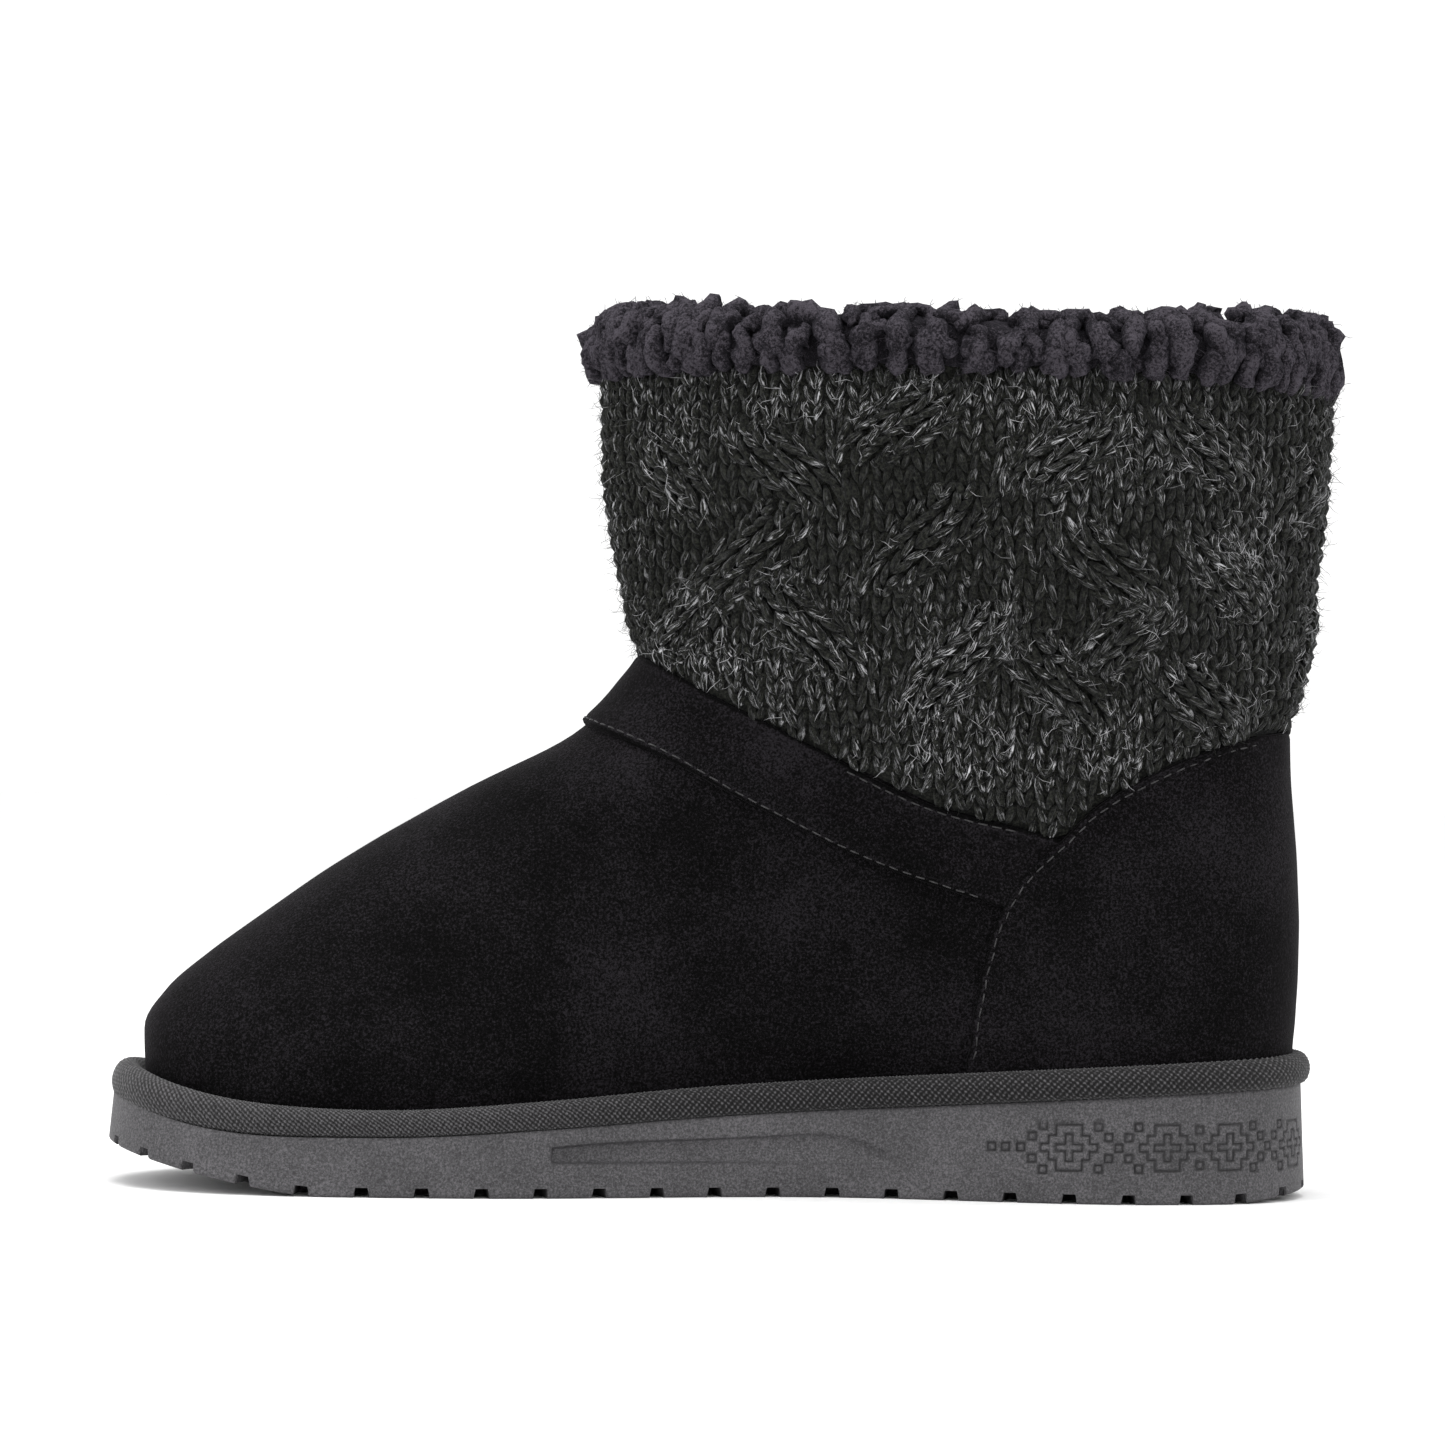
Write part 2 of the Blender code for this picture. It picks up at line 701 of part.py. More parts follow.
def main():
    for obj in list(bpy.data.objects):
        bpy.data.objects.remove(obj)
    parts = bpy.data.collections.new("ankle_boot")
    cutters = bpy.data.collections.new("cutters")
    for collection in (parts, cutters):
        bpy.context.scene.collection.children.link(collection)
    rubber = make_material("grey_rubber", (0.115, 0.110, 0.117), 0.7)
    tape = make_material("woven_tape", (0.055, 0.052, 0.054), 0.85)
    suede = make_material("black_suede", (0.012, 0.011, 0.012), 0.95)
    yarn = make_material("marled_yarn", (0.030, 0.030, 0.029), 0.95)
    fleece = make_material("fleece", (0.022, 0.020, 0.023), 1.0)
    for obj, material in (
        (make_outsole(parts, cutters), rubber),
        (make_welt(parts), tape),
        (make_upper(parts), suede),
        (make_insole(parts), fleece),
        (make_counter(parts, cutters), suede),
        (make_band(parts, cutters), suede),
        (make_knit(parts, cutters), yarn),
        (make_cuff(parts), fleece),
    ):
        obj.data.materials.append(material)
    bpy.context.view_layer.update()
    centre_all(list(parts.objects) + list(cutters.objects))


main()
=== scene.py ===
"""Right ankle boot with a knitted shaft, a fleece cuff, a taped welt and a notched rubber sole.

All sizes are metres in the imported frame: +X to the toe, +Y to the inner side, +Z up. Shapes are
worked out with the heel's rear end at x = 0, as in the part's source, and moved by ORIGIN.
"""
import functools
import math

import bpy
import numpy as np
from mathutils import Matrix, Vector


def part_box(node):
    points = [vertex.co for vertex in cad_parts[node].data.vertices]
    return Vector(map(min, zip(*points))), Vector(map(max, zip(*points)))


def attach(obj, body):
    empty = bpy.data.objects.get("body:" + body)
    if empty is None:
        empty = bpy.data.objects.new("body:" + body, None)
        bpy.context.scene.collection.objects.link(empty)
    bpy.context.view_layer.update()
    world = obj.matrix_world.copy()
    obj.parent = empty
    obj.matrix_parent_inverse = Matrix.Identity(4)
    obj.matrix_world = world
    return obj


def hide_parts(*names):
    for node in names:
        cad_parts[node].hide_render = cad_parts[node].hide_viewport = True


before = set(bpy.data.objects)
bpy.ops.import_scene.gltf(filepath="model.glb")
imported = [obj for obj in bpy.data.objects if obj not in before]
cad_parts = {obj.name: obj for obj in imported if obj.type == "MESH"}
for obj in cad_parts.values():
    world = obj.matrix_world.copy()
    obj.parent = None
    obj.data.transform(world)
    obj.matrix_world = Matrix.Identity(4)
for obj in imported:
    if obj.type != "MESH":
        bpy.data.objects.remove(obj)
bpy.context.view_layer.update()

bl_info = {
    "name": "Knit-shaft ankle boot",
    "version": (1, 0, 0),
    "blender": (4, 5, 0),
    "location": "View3D > Sidebar > Boot",
    "description": "Builds the pieces of a suede, knit and fleece ankle boot on its packed frame",
    "category": "Object",
}

MM = 0.001

# The last's sizes
LAST_LENGTH = 0.2584
LAST_REAR = 0.0050
LAST_FRONT = LAST_REAR + LAST_LENGTH
BALL_HALF_WIDTH = 0.0435
SWING = 0.0080
ANKLE_HEIGHT = 0.1220
COLLAR_HEIGHT = 0.1900
COLLAR_DROP = 0.0030

# The sole's sizes
HEEL_THICKNESS = 0.0262
BALL_THICKNESS = 0.0128
TOE_SPRING = 0.0095
TOE_TOP_RISE = 0.0087
SPRING_START = 0.2220
HEEL_SPRING = 0.0020
HEEL_SPRING_LENGTH = 0.0200
WELT_AT_HEEL = 0.0050
WELT_AT_SIDE = 0.0055
WELT_AT_TOE = 0.0083
SOLE_LENGTH = LAST_FRONT + WELT_AT_TOE - LAST_REAR + WELT_AT_HEEL
SOLE_FLARE = 0.0011
NOTCH_PITCH = 0.01325
NOTCH_START = 0.17
NOTCH_DEPTH = 0.0022
SCOOP_BOTTOM = 0.0077
SCOOP_HEIGHT = 0.0064
SCOOP_END = 0.1703
ENGRAVED = 0.00055

# The sizes of what is sewn on it
WELT_HEIGHT = 0.0070
WELT_OVERHANG = 0.0014
UPPER_WALL = 0.0030
KNIT_THICKNESS = 0.0042
CUFF_BOTTOM = 0.1832
CUFF_REAR_DROP = 0.0026
GAP = 0.0003

WIDTH_STATIONS = (0.0, 0.12, 0.40, 0.72, 1.0)
LAST_SECTIONS = (
    # level, rear, front, heel, seat, waist, ball, toe
    (0.000, 0.0000, 0.9990, 1.38, 1.00, 0.650, 1.110, 1.540),
    (0.070, 0.0000, 1.0000, 1.38, 1.00, 0.650, 1.110, 1.540),
    (0.155, -0.0025, 1.0010, 1.40, 1.04, 0.690, 1.140, 1.530),
    (0.250, -0.0037, 0.9830, 1.39, 1.06, 0.710, 1.110, 1.470),
    (0.350, -0.0038, 0.9440, 1.36, 1.07, 0.720, 1.040, 1.370),
    (0.440, -0.0030, 0.8985, 1.33, 1.06, 0.715, 0.970, 1.260),
    (0.530, -0.0010, 0.8460, 1.29, 1.03, 0.705, 0.900, 1.150),
    (0.700, 0.0048, 0.7255, 1.18, 0.96, 0.710, 0.830, 1.000),
    (0.826, 0.0064, 0.6250, 1.08, 0.94, 0.740, 0.820, 0.930),
    (0.912, 0.0045, 0.5895, 1.05, 0.95, 0.780, 0.850, 0.940),
    (1.000, 0.0010, 0.5680, 1.05, 0.97, 0.830, 0.890, 0.970),
    (1.132, -0.0035, 0.5705, 1.06, 0.99, 0.900, 0.940, 1.010),
    (1.332, -0.0090, 0.5820, 1.08, 1.03, 0.970, 1.000, 1.050),
    (1.600, -0.0155, 0.5925, 1.10, 1.06, 1.020, 1.040, 1.080),
    (2.000, -0.0195, 0.5955, 1.11, 1.07, 1.040, 1.060, 1.090),
)
SOLE_PROFILE = ((0.0, 1.0), (0.17, 0.8), (0.34, 0.567), (0.51, 0.351), (0.63, 0.164),
                (0.76, 0.022), (1.0, 0.0))
WELT_PROFILE = ((0.0, 0.97), (0.5, 0.95), (0.77, 0.84), (0.87, 1.0), (0.95, 1.24), (1.0, 1.46))

# Side-view lines of the band, heel to toe, as x and z, and of the counter's front as z and x
BAND_LOWER = ((0.0500, 0.0590), (0.0619, 0.0625), (0.0985, 0.0742), (0.1254, 0.0865),
              (0.1497, 0.0986), (0.1642, 0.1041), (0.1743, 0.1074), (0.1900, 0.1130))
BAND_UPPER = ((0.0400, 0.0740), (0.0588, 0.0808), (0.0854, 0.0874), (0.1122, 0.0996),
              (0.1257, 0.1063), (0.1391, 0.1129), (0.1536, 0.1210), (0.1700, 0.1310))
COUNTER_FRONT = ((0.0255, 0.0792), (0.0278, 0.0788), (0.0427, 0.0769), (0.0538, 0.0749),
                 (0.0655, 0.0709), (0.0740, 0.0652), (0.0812, 0.0577), (0.0887, 0.0500),
                 (0.0955, 0.0386), (0.1006, 0.0272), (0.1042, 0.0151), (0.1057, 0.0050))


def hermite(start, end, rise, fall, share):
    """The cubic between two values whose slopes there, times the step, are rise and fall."""
    return (start * (1 + 2 * share) * (1 - share) ** 2 + rise * share * (1 - share) ** 2
            + end * share**2 * (3 - 2 * share) - fall * share**2 * (1 - share))


def smooth(stations, values, at):
    """A curve through the values that never overshoots them: cubic steps whose slopes are the
    harmonic mean of the slopes on either side. A value may be an array of the shape of at."""
    stations, values = np.asarray(stations, float), np.asarray(values, float)
    at = np.clip(at, stations[0], stations[-1])
    slopes = np.diff(values, axis=0) / np.diff(stations).reshape(-1, *[1] * (values.ndim - 1))
    before, after = slopes[:-1], slopes[1:]
    total = np.where(np.abs(before + after) < 1e-12, 1, before + after)
    inner = np.where(before * after > 0, 2 * before * after / total, 0)
    tangents = np.concatenate([slopes[:1], inner, slopes[-1:]])
    low = np.clip(np.searchsorted(stations, at, side="right") - 1, 0, len(values) - 2)
    step = stations[low + 1] - stations[low]
    start, end, rise, fall = (
        table[k] if values.ndim == 1 else np.take_along_axis(table, k[None], 0)[0]
        for table in (values, tangents) for k in (low, low + 1))
    return hermite(start, end, rise * step, fall * step, (at - stations[low]) / step)


def ease(share):
    """0 below 0, 1 above 1 and a soft step between."""
    share = np.clip(share, 0, 1)
    return share * share * (3 - 2 * share)


def bell(distance, width):
    """1 at distance 0, falling off as a gaussian."""
    return np.exp(-((distance / width) ** 2))


def columns(table):
    return [np.array(column) for column in zip(*table)]


def unit(vectors):
    return vectors / np.maximum(np.linalg.norm(vectors, axis=-1, keepdims=True), 1e-12)


def turns(count):
    """An even run of angles round a full turn."""
    return np.linspace(0, 2 * math.pi, count, endpoint=False)


def run_along(points):
    """The length along a line of points at each of them."""
    return np.concatenate([[0], np.cumsum(np.linalg.norm(np.diff(points, axis=0), axis=1))])


def placed(at, run, points):
    """The points at given lengths along a line."""
    return np.column_stack([np.interp(at, run, column) for column in points.T])


def closed(points):
    return np.concatenate([points, points[:1]])


def past_ball(x):
    """How far x lies from where the toe starts to spring, as a share of the way to the tip."""
    return np.clip((x - SPRING_START) / (SOLE_LENGTH - SPRING_START), 0, None)


def tread_height(x):
    """Height of the sole's underside: flat, lifting as a power curve at the toe and the heel."""
    toe = TOE_SPRING * past_ball(x) ** 1.3
    heel = HEEL_SPRING * np.clip(1 - x / HEEL_SPRING_LENGTH, 0, None) ** 1.3
    return toe + heel


def sole_top(x):
    """Height of the sole's top: the ball's thickness, plus a share of the heel's rise."""
    share = smooth(*columns(SOLE_PROFILE), x / SOLE_LENGTH)
    toe = TOE_TOP_RISE * past_ball(x) ** 2.6
    return BALL_THICKNESS + (HEEL_THICKNESS - BALL_THICKNESS) * share + toe


def centre_line(x):
    """Sideways place of the last's middle: the waist swings out and the toe swings in."""
    share = (x - LAST_REAR) / LAST_LENGTH
    return SWING * smooth((0, 0.12, 0.42, 0.74, 0.9, 1.0), (0, 0, -0.75, -0.4, 0.3, 0.85), share)


def spine_of(edge, front):
    """For each point of an outline, the point of the middle line that it is drawn in to."""
    x = np.clip(edge[:, 0], 0.03, front)
    return np.column_stack([x, centre_line(x)])


def last_plan(level, angle):
    """Plan of the last for arrays of level and angle (0 at the toe, anticlockwise): the length
    share is half of 1 + cos, the half width is the width curve at that share times sin."""
    table = columns(LAST_SECTIONS)
    rear, front = (LAST_REAR + LAST_LENGTH * smooth(table[0], table[i], level) for i in (1, 2))
    share = (1 + np.cos(angle)) / 2
    x = rear + (front - rear) * share
    widths = [BALL_HALF_WIDTH * smooth(table[0], column, level) for column in table[3:]]
    half = smooth(WIDTH_STATIONS, widths, share)
    return x, centre_line(x) * ease(1.2 - level) + half * np.sin(angle)


def collar_height(x):
    return COLLAR_HEIGHT - COLLAR_DROP * (1 - (x - LAST_REAR) / (0.6 * LAST_LENGTH))


def last_point(level, angle):
    """Points of the last for arrays of level and angle. A section bends from the feather line at
    level 0 to level at the ankle (1) and the collar (2)."""
    level, angle = np.broadcast_arrays(np.asarray(level, float), angle)
    x, y = last_plan(level, angle)
    foot = sole_top(x) + GAP + np.minimum(level, 1) * (ANKLE_HEIGHT - sole_top(x) - GAP)
    z = foot + np.maximum(level - 1, 0) * (collar_height(x) - ANKLE_HEIGHT)
    return np.stack([x, y, z], axis=-1)


def last_frame(level, angle):
    """Points of the last with their outward normals, from central differences."""
    d = 1e-4
    point = last_point(level, angle)
    low, high = np.maximum(np.asarray(level) - d, 0), np.minimum(np.asarray(level) + d, 2)
    round_ = unit(last_point(level, angle + d) - last_point(level, angle - d))
    up = unit(last_point(high, angle) - last_point(low, angle))
    return point, unit(np.cross(round_, up))


def outline_normal(plan):
    """Outward normals of a closed outline in plan."""
    along = np.roll(plan, -1, axis=0) - np.roll(plan, 1, axis=0)
    return unit(np.stack([along[:, 1], -along[:, 0]], axis=1))


def moved_outwards(plan, reach):
    """A closed outline in plan, each point moved along its normal."""
    return plan + outline_normal(plan) * np.broadcast_to(reach, len(plan))[:, None]


def welt_width(share):
    """How far the sole reaches past the last, against the share of length from the heel."""
    return smooth((0, 0.2, 0.8, 1), (WELT_AT_HEEL, WELT_AT_SIDE, WELT_AT_SIDE, WELT_AT_TOE), share)


def feather_plan(around):
    """The last's plan at the feather line as an even run of points, and their length shares."""
    angle = turns(6 * around)
    ring = closed(np.column_stack(last_plan(np.zeros_like(angle), angle)))
    run = run_along(ring)
    plan = placed(np.linspace(0, run[-1], around, endpoint=False), run, ring)
    return plan, np.clip((plan[:, 0] - LAST_REAR) / LAST_LENGTH, 0, 1)


def origin():
    """Where the source's x = 0, y = 0 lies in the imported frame, from the outsole's box."""
    low, high = (np.array(corner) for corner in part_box("outsole"))
    plan, share = feather_plan(960)
    plan = moved_outwards(plan, welt_width(share))
    middle = (plan.min(axis=0) + plan.max(axis=0)) / 2
    return np.array([*((low + high) / 2)[:2] - middle, 0.0])


ORIGIN = origin()


def put_mesh(name, points, faces, materials, face_material=None, uv=None, tone=None):
    """A piece from arrays of points and faces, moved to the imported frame; uv is a pair for each
    point and tone a number for each point."""
    mesh = bpy.data.meshes.new(name)
    mesh.from_pydata((points.reshape(-1, 3) + ORIGIN).tolist(), [], faces.tolist())
    for material in materials:
        mesh.materials.append(material)
    if face_material is not None:
        mesh.polygons.foreach_set("material_index", np.asarray(face_material, np.int32))
    corner = np.empty(len(mesh.loops), np.int32)
    mesh.loops.foreach_get("vertex_index", corner)
    if uv is not None:
        layer = mesh.uv_layers.new(name="surface")
        layer.data.foreach_set("uv", np.asarray(uv, np.float32).reshape(-1, 2)[corner].ravel())
    if tone is not None:
        layer = mesh.attributes.new("tone", "FLOAT", "POINT")
        layer.data.foreach_set("value", np.asarray(tone, np.float32).ravel())
    mesh.polygons.foreach_set("use_smooth", np.ones(len(mesh.polygons), bool))
    mesh.validate()
    mesh.update()
    piece = bpy.data.objects.new(name, mesh)
    bpy.context.scene.collection.objects.link(piece)
    return piece


def quads(rows, around, wrap_rows=False, wrap_around=True):
    """Corner numbers of the quads of a grid of rows by around points."""
    r = np.arange(rows if wrap_rows else rows - 1)[:, None]
    a = np.arange(around if wrap_around else around - 1)[None, :]
    low, high = r * around, (r + 1) % rows * around
    right = (a + 1) % around
    return np.stack([low + a, low + right, high + right, high + a], axis=-1).reshape(-1, 4)


def put_grid(name, grid, materials, wrap_rows=True, wrap_around=True, **more):
    """A piece from a grid of points, closed or open either way."""
    grid = np.asarray(grid)
    faces = quads(*grid.shape[:2], wrap_rows, wrap_around)
    return put_mesh(name, grid, faces, materials, **more)


def hashed(*numbers):
    """A repeatable number from 0 to 1 for each row of whole numbers."""
    total = sum(np.asarray(n, float) * k for n, k in zip(numbers, (12.9898, 78.233, 37.719, 9.131)))
    return np.modf(np.abs(np.sin(total) * 43758.5453))[0]


def ripple(points, size, seed=0):
    """Soft repeatable noise from -1 to 1: a sum of sines in turned directions, of two octaves."""
    rng = np.random.default_rng(seed)
    total = np.zeros(points.shape[:-1])
    for octave, share in ((1.0, 0.65), (2.1, 0.35)):
        for _ in range(5):
            way = unit(rng.normal(size=3)) * 2 * math.pi * octave / size
            total += share / 2.6 * np.sin(points @ way + rng.uniform(0, 6.283))
    return total


# Heel ornament, in millimetres: along the side from the first square, and up from its middle.
STEP = 2.44
SQUARE = 0.85
MEDALLIONS = (17.8, 40.1, 55.1, 76.8)
FIRST_SQUARE = 0.0733
ORNAMENT_HEIGHT = 12.3


def ornament_squares():
    """Centres of the small squares, along and up: three in a row, then the stepped diamonds that
    frame each gap between medallions, two rows of steps on either side."""
    centres = [(0.5, 0), (3.6, 0), (7.0, 0)]
    centres += [(MEDALLIONS[0] + a * STEP, b * STEP)
                for a, b in ((-3.4, 1), (-3.4, -1), (-2.4, 2), (-2.4, -2))]
    for k in (0, 2):
        middle = (MEDALLIONS[k] + MEDALLIONS[k + 1]) / 2
        spread = [(0, 0), *((a, b) for a in (-1, 1) for b in (1, -1)),
                  *((a, b) for a in (-2, 2) for b in (2, -2))]
        centres += [(middle + a * STEP * 0.93, b * STEP * 0.95) for a, b in spread]
    middle = (MEDALLIONS[1] + MEDALLIONS[2]) / 2
    return centres + [(middle, 1.6 * STEP), (middle, -1.6 * STEP)]


def rectangles(along, up, sizes):
    """Signed distance to crossed rectangles, given as half lengths and half heights."""
    return np.minimum.reduce([np.maximum(np.abs(along) - w, np.abs(up) - h) for w, h in sizes])


def engraving(along, up):
    """Depth of the engraved lines, 0 to 1: a narrow bell about the zero of each outline, which is
    a square, a lozenge of steps or a plain cross."""
    line = np.full(along.shape, 9.0)
    for a, b in ornament_squares():
        line = np.minimum(line, np.abs(rectangles(along - a, up - b, ((SQUARE, SQUARE),))))
    for m in MEDALLIONS:
        for sizes in (((6.4, 0.85), (4.6, 2.7), (2.9, 5.1)), ((3.0, 0.75), (0.8, 3.0))):
            line = np.minimum(line, np.abs(rectangles(along - m, up, sizes)))
    return bell(line, 0.29)


def ornament_press(at, total, first, z):
    """Depth share of the ornament on either side of the heel: along the edge it is measured from
    the place of its first square, on the inner side and mirrored on the outer side."""
    along = (np.minimum(at, total - at) - first) / MM
    up = z / MM - ORNAMENT_HEIGHT - 0.6 * np.clip(along / 77, 0, 1)
    inside = (along > -3) & (along < 90) & (np.abs(up) < 7.5)
    depth = np.zeros(at.shape)
    depth[inside] = engraving(along[inside], up[inside])
    return depth


def scoop_depth(x, z):
    """Depth of the side scoop and the shade painted along its rim: a round hollow with a crisp rim,
    blunt and deep at its toe end, shallow towards the heel."""
    top = SCOOP_BOTTOM + SCOOP_HEIGHT * smooth(
        (0.331, 0.358, 0.390, 0.406, 0.46, 0.514, 0.5815, 0.632),
        (0, 0.48, 0.93, 1.0, 0.88, 0.80, 0.70, 0.52), x / SOLE_LENGTH)
    middle, half = (SCOOP_BOTTOM + top) / 2, np.maximum((top - SCOOP_BOTTOM) / 2, 1e-5)
    inside = np.clip(1 - ((z - middle) / half) ** 2, 0, 1)
    ends = ease((SCOOP_END - x) / (0.9 * MM)) * ease((x / SOLE_LENGTH - 0.331) / 0.04)
    bold = 0.55 + 0.45 * ease((x - 0.11) / 0.03)
    rim = np.minimum(np.abs(z - top), np.abs(z - SCOOP_BOTTOM))
    rim = np.where(inside > 0, np.minimum(rim, np.abs(SCOOP_END - 0.3 * MM - x)), rim)
    # Painted shade: a thin dark line along the scoop's outline, given as the second value.
    line = bell(rim, 0.33 * MM) * (x < SCOOP_END + 0.1 * MM) * ends.clip(0.3) * (x > 0.09)
    return 1.6 * MM * inside**0.4 * ends * bold, 0.55 * bold * line


def sole_columns(total, blunt):
    """Places along the edge: an even run, thick over the ornament and at the scoop's blunt ends,
    and four more at each notch. Also the places of the notches."""
    count = round(total / NOTCH_PITCH)
    notch = total * (np.arange(count) + NOTCH_START) / count
    close = np.array([-1.75, -1.38, 1.38, 1.75]) * MM
    reach = 0.098
    even = np.arange(0, total, 1.5 * MM)
    even = even[np.abs(even - total / 2) > reach]
    fine = np.arange(total / 2 - reach, total / 2 + reach, 0.34 * MM)
    end = blunt + np.arange(-1.2, 1.3, 0.3) * MM
    places = np.concatenate([even, fine, end, total - end, (notch[:, None] + close).ravel()])
    places = np.unique(np.round(places % total, 7))
    return places[np.concatenate([[True], np.diff(places) > 2e-5])], notch


def tread_pattern(p):
    """Relief of the underside: shallow wavy grooves across the foot, 0.9 mm deep."""
    wave = p[:, 0] + 2.2 * MM * np.sin(p[:, 1] / (7 * MM))
    return 0.9 * MM * ease((np.cos(wave * 2 * math.pi / (6.6 * MM)) - 0.35) / 0.4)


def make_sole_surface(materials):
    """The rubber sole as one closed grid: rows run from the middle of the tread out to the edge,
    up the side and in over the top. Round its edge, a notch lifts the tread's outer rows and
    cuts in the side's foot; the scoop and the heel's ornament press the side inwards."""
    plan, share = feather_plan(2400)
    edge = closed(moved_outwards(plan, welt_width(share)))
    run = run_along(edge)
    total = run[-1]
    half = run < total / 2
    at, notch = sole_columns(total, np.interp(-SCOOP_END, -edge[half, 0], run[half]))
    out = placed(at, run, edge)
    step = placed((at + 4e-4) % total, run, edge) - placed((at - 4e-4) % total, run, edge)
    normal = unit(np.column_stack([step[:, 1], -step[:, 0]]))
    x = out[:, 0]
    first = np.interp(-FIRST_SQUARE, -x[at < total / 2], at[at < total / 2])
    far = np.abs((at[:, None] - notch + total / 2) % total - total / 2).min(axis=1)
    roof = NOTCH_DEPTH * (far < 1.5 * MM)
    floor, top = tread_height(x), sole_top(x)
    spine = spine_of(out, SOLE_LENGTH - 0.04)
    depth = 9.0 * MM
    rows, painted_shading = [], [np.zeros(len(x))] * 15
    for t in np.linspace(0.0, 1.0, 10):
        p = spine + (out - normal * (depth + 0.3 * MM) - spine) * t
        tread = tread_height(p[:, 0]) + tread_pattern(p) * ease(t * 8) * ease((1 - t) * 8)
        rows.append(np.column_stack([p, tread]))
    for inset in (depth, depth - 0.05 * MM, 5 * MM, 1.2 * MM, 0.7 * MM):
        rows.append(np.column_stack([out - normal * inset, floor + roof]))
    heights = np.concatenate([[0.0, 0.35, 0.7, 1.4, 2.18, 2.22, 3.2, 4.4, 5.6],
                              np.arange(6.2, 19.6, 0.34), (20.8, 22.4, 24.0, 25.0)]) * MM
    scale = (top - floor) / heights[-1]
    for h in heights:
        z = floor + np.maximum(h, roof)
        if h > NOTCH_DEPTH:
            z = floor + h * scale + NOTCH_DEPTH * (1 - scale) * ease((12 * MM - h) / (9 * MM))
        z = np.minimum(z, top)
        corner = 0.7 * MM * np.clip(1 - h / (0.7 * MM), 0, 1) ** 2
        lean = SOLE_FLARE * np.clip((z - floor) / (top - floor), 0, 1)
        press, rim = scoop_depth(x, z)
        ornament = ornament_press(at, total, first, z)
        p = out - normal * (corner + lean + press + ENGRAVED * ornament)[:, None]
        rows.append(np.column_stack([p, z]))
        # Tone paints shade into the ornament's engraved lines and along the scoop's rim.
        painted_shading.append(np.maximum(ornament, rim))
    for inset in (3.0 * MM, 14.0 * MM):
        rows.append(np.column_stack([out - normal * (SOLE_FLARE + inset), top]))
    rows.append(np.column_stack([spine, sole_top(spine[:, 0])]))
    return put_grid("rubber_sole", rows, materials, wrap_rows=False,
                    tone=painted_shading + [np.zeros(len(x))] * 3)


# The welt's section from its inner foot round: outward share of its width, height share. The
# tape's own run round the boot is longer than the feather line's 597 mm: pitches are along it.
WELT_SECTION = ((0.04, 0.02), (0.55, 0.0), (0.86, 0.10), (1.0, 0.40), (0.97, 0.66), (0.80, 0.90),
                (0.52, 1.0), (0.26, 0.95), (0.10, 0.74), (0.03, 0.4))
TAPE_RUN = 0.655
TAPE_LIFT = 0.26 * MM


def section_round(key, count):
    """Points of a closed section through its key points, and their places among the keys: a cubic
    through every key whose slope at each is the slope between its neighbours."""
    spots = np.arange(-3, len(key) + 4)
    at = np.linspace(0, len(key), count, endpoint=False)
    values = key[spots % len(key)]
    slope = np.gradient(values, spots, axis=0)
    low = np.clip(np.searchsorted(spots, at, side="right") - 1, 0, len(spots) - 2)
    share = (at - spots[low])[:, None]
    return hermite(values[low], values[low + 1], slope[low], slope[low + 1], share), at


def make_welt_surface(materials):
    """The welt's roll: its closed section is carried round the feather line, and ribs of thread
    stand on it as a wave of the run along the edge and the way round the section. Each rib is
    beaded by a second, shorter wave along itself."""
    around = 2000
    plan, share = feather_plan(around)
    x = plan[:, 0]
    profile, at = section_round(np.array(WELT_SECTION), 22)
    way = unit(np.roll(profile, -1, axis=0) - np.roll(profile, 1, axis=0))
    run = np.linspace(0, 1, around, endpoint=False) * TAPE_RUN / MM
    side = np.where(plan[:, 1] > 0, 1.0, -1.0)
    width = welt_width(share) - SOLE_FLARE + WELT_OVERHANG * (1 - ease(share))
    height = WELT_HEIGHT * smooth(*columns(WELT_PROFILE), x / SOLE_LENGTH)
    coarse = ease((0.19 - x) / 0.06)
    pitch = 1.15 + 0.55 * coarse
    phase = np.cumsum((run[1] - run[0]) / pitch)
    phase *= round(phase[-1]) / phase[-1]
    normal = outline_normal(plan)
    rows, painted_shading, uv = [], [], []
    for (out, up), (ahead, rise), turn in zip(profile, way, at * 2.3):
        rib = np.cos(2 * math.pi * (phase - side * turn * (0.5 + 0.3 * coarse) / pitch))
        bead = np.cos(2 * math.pi * (1.6 * phase + side * turn * 0.9))
        ridge = (0.78 + 0.08 * coarse) * rib + (0.22 - 0.08 * coarse) * bead
        lift = TAPE_LIFT * ridge * (0.6 + 0.4 * coarse)
        p = plan + normal * (1.7 * GAP + out * width + rise * lift)[:, None]
        rows.append(np.column_stack([p, sole_top(x) + GAP * 0.3 + up * height - ahead * lift]))
        # Tone follows each rib's height: painted highlight on the crowns and painted shade between
        # the ribs, darker on the whole over the rear part.
        painted_shading.append(0.5 + 0.5 * ridge * (0.55 + 0.60 * coarse) - 0.16 * coarse)
        uv.append(np.column_stack([run, np.full(around, turn)]))
    return put_grid("welt_roll", rows, materials, uv=np.array(uv), tone=np.array(painted_shading))


def level_on(line, angle, low=0.3, high=1.3):
    """The level where each angle's way up the last first rises through a side-view line, which is
    a table of x and z or a function of x."""
    height = line if callable(line) else lambda x: smooth(*columns(line), x)
    levels = np.linspace(low, high, 160)
    point = last_point(levels[:, None], angle[None, :])
    over = point[..., 2] - height(point[..., 0])
    first = np.clip(np.argmax(over > 0, axis=0), 1, len(levels) - 1)
    column = np.arange(len(angle))
    below, above = over[first - 1, column], over[first, column]
    share = np.clip(-below / np.where(above - below == 0, 1, above - below), 0, 1)
    return levels[first - 1] + share * (levels[1] - levels[0])
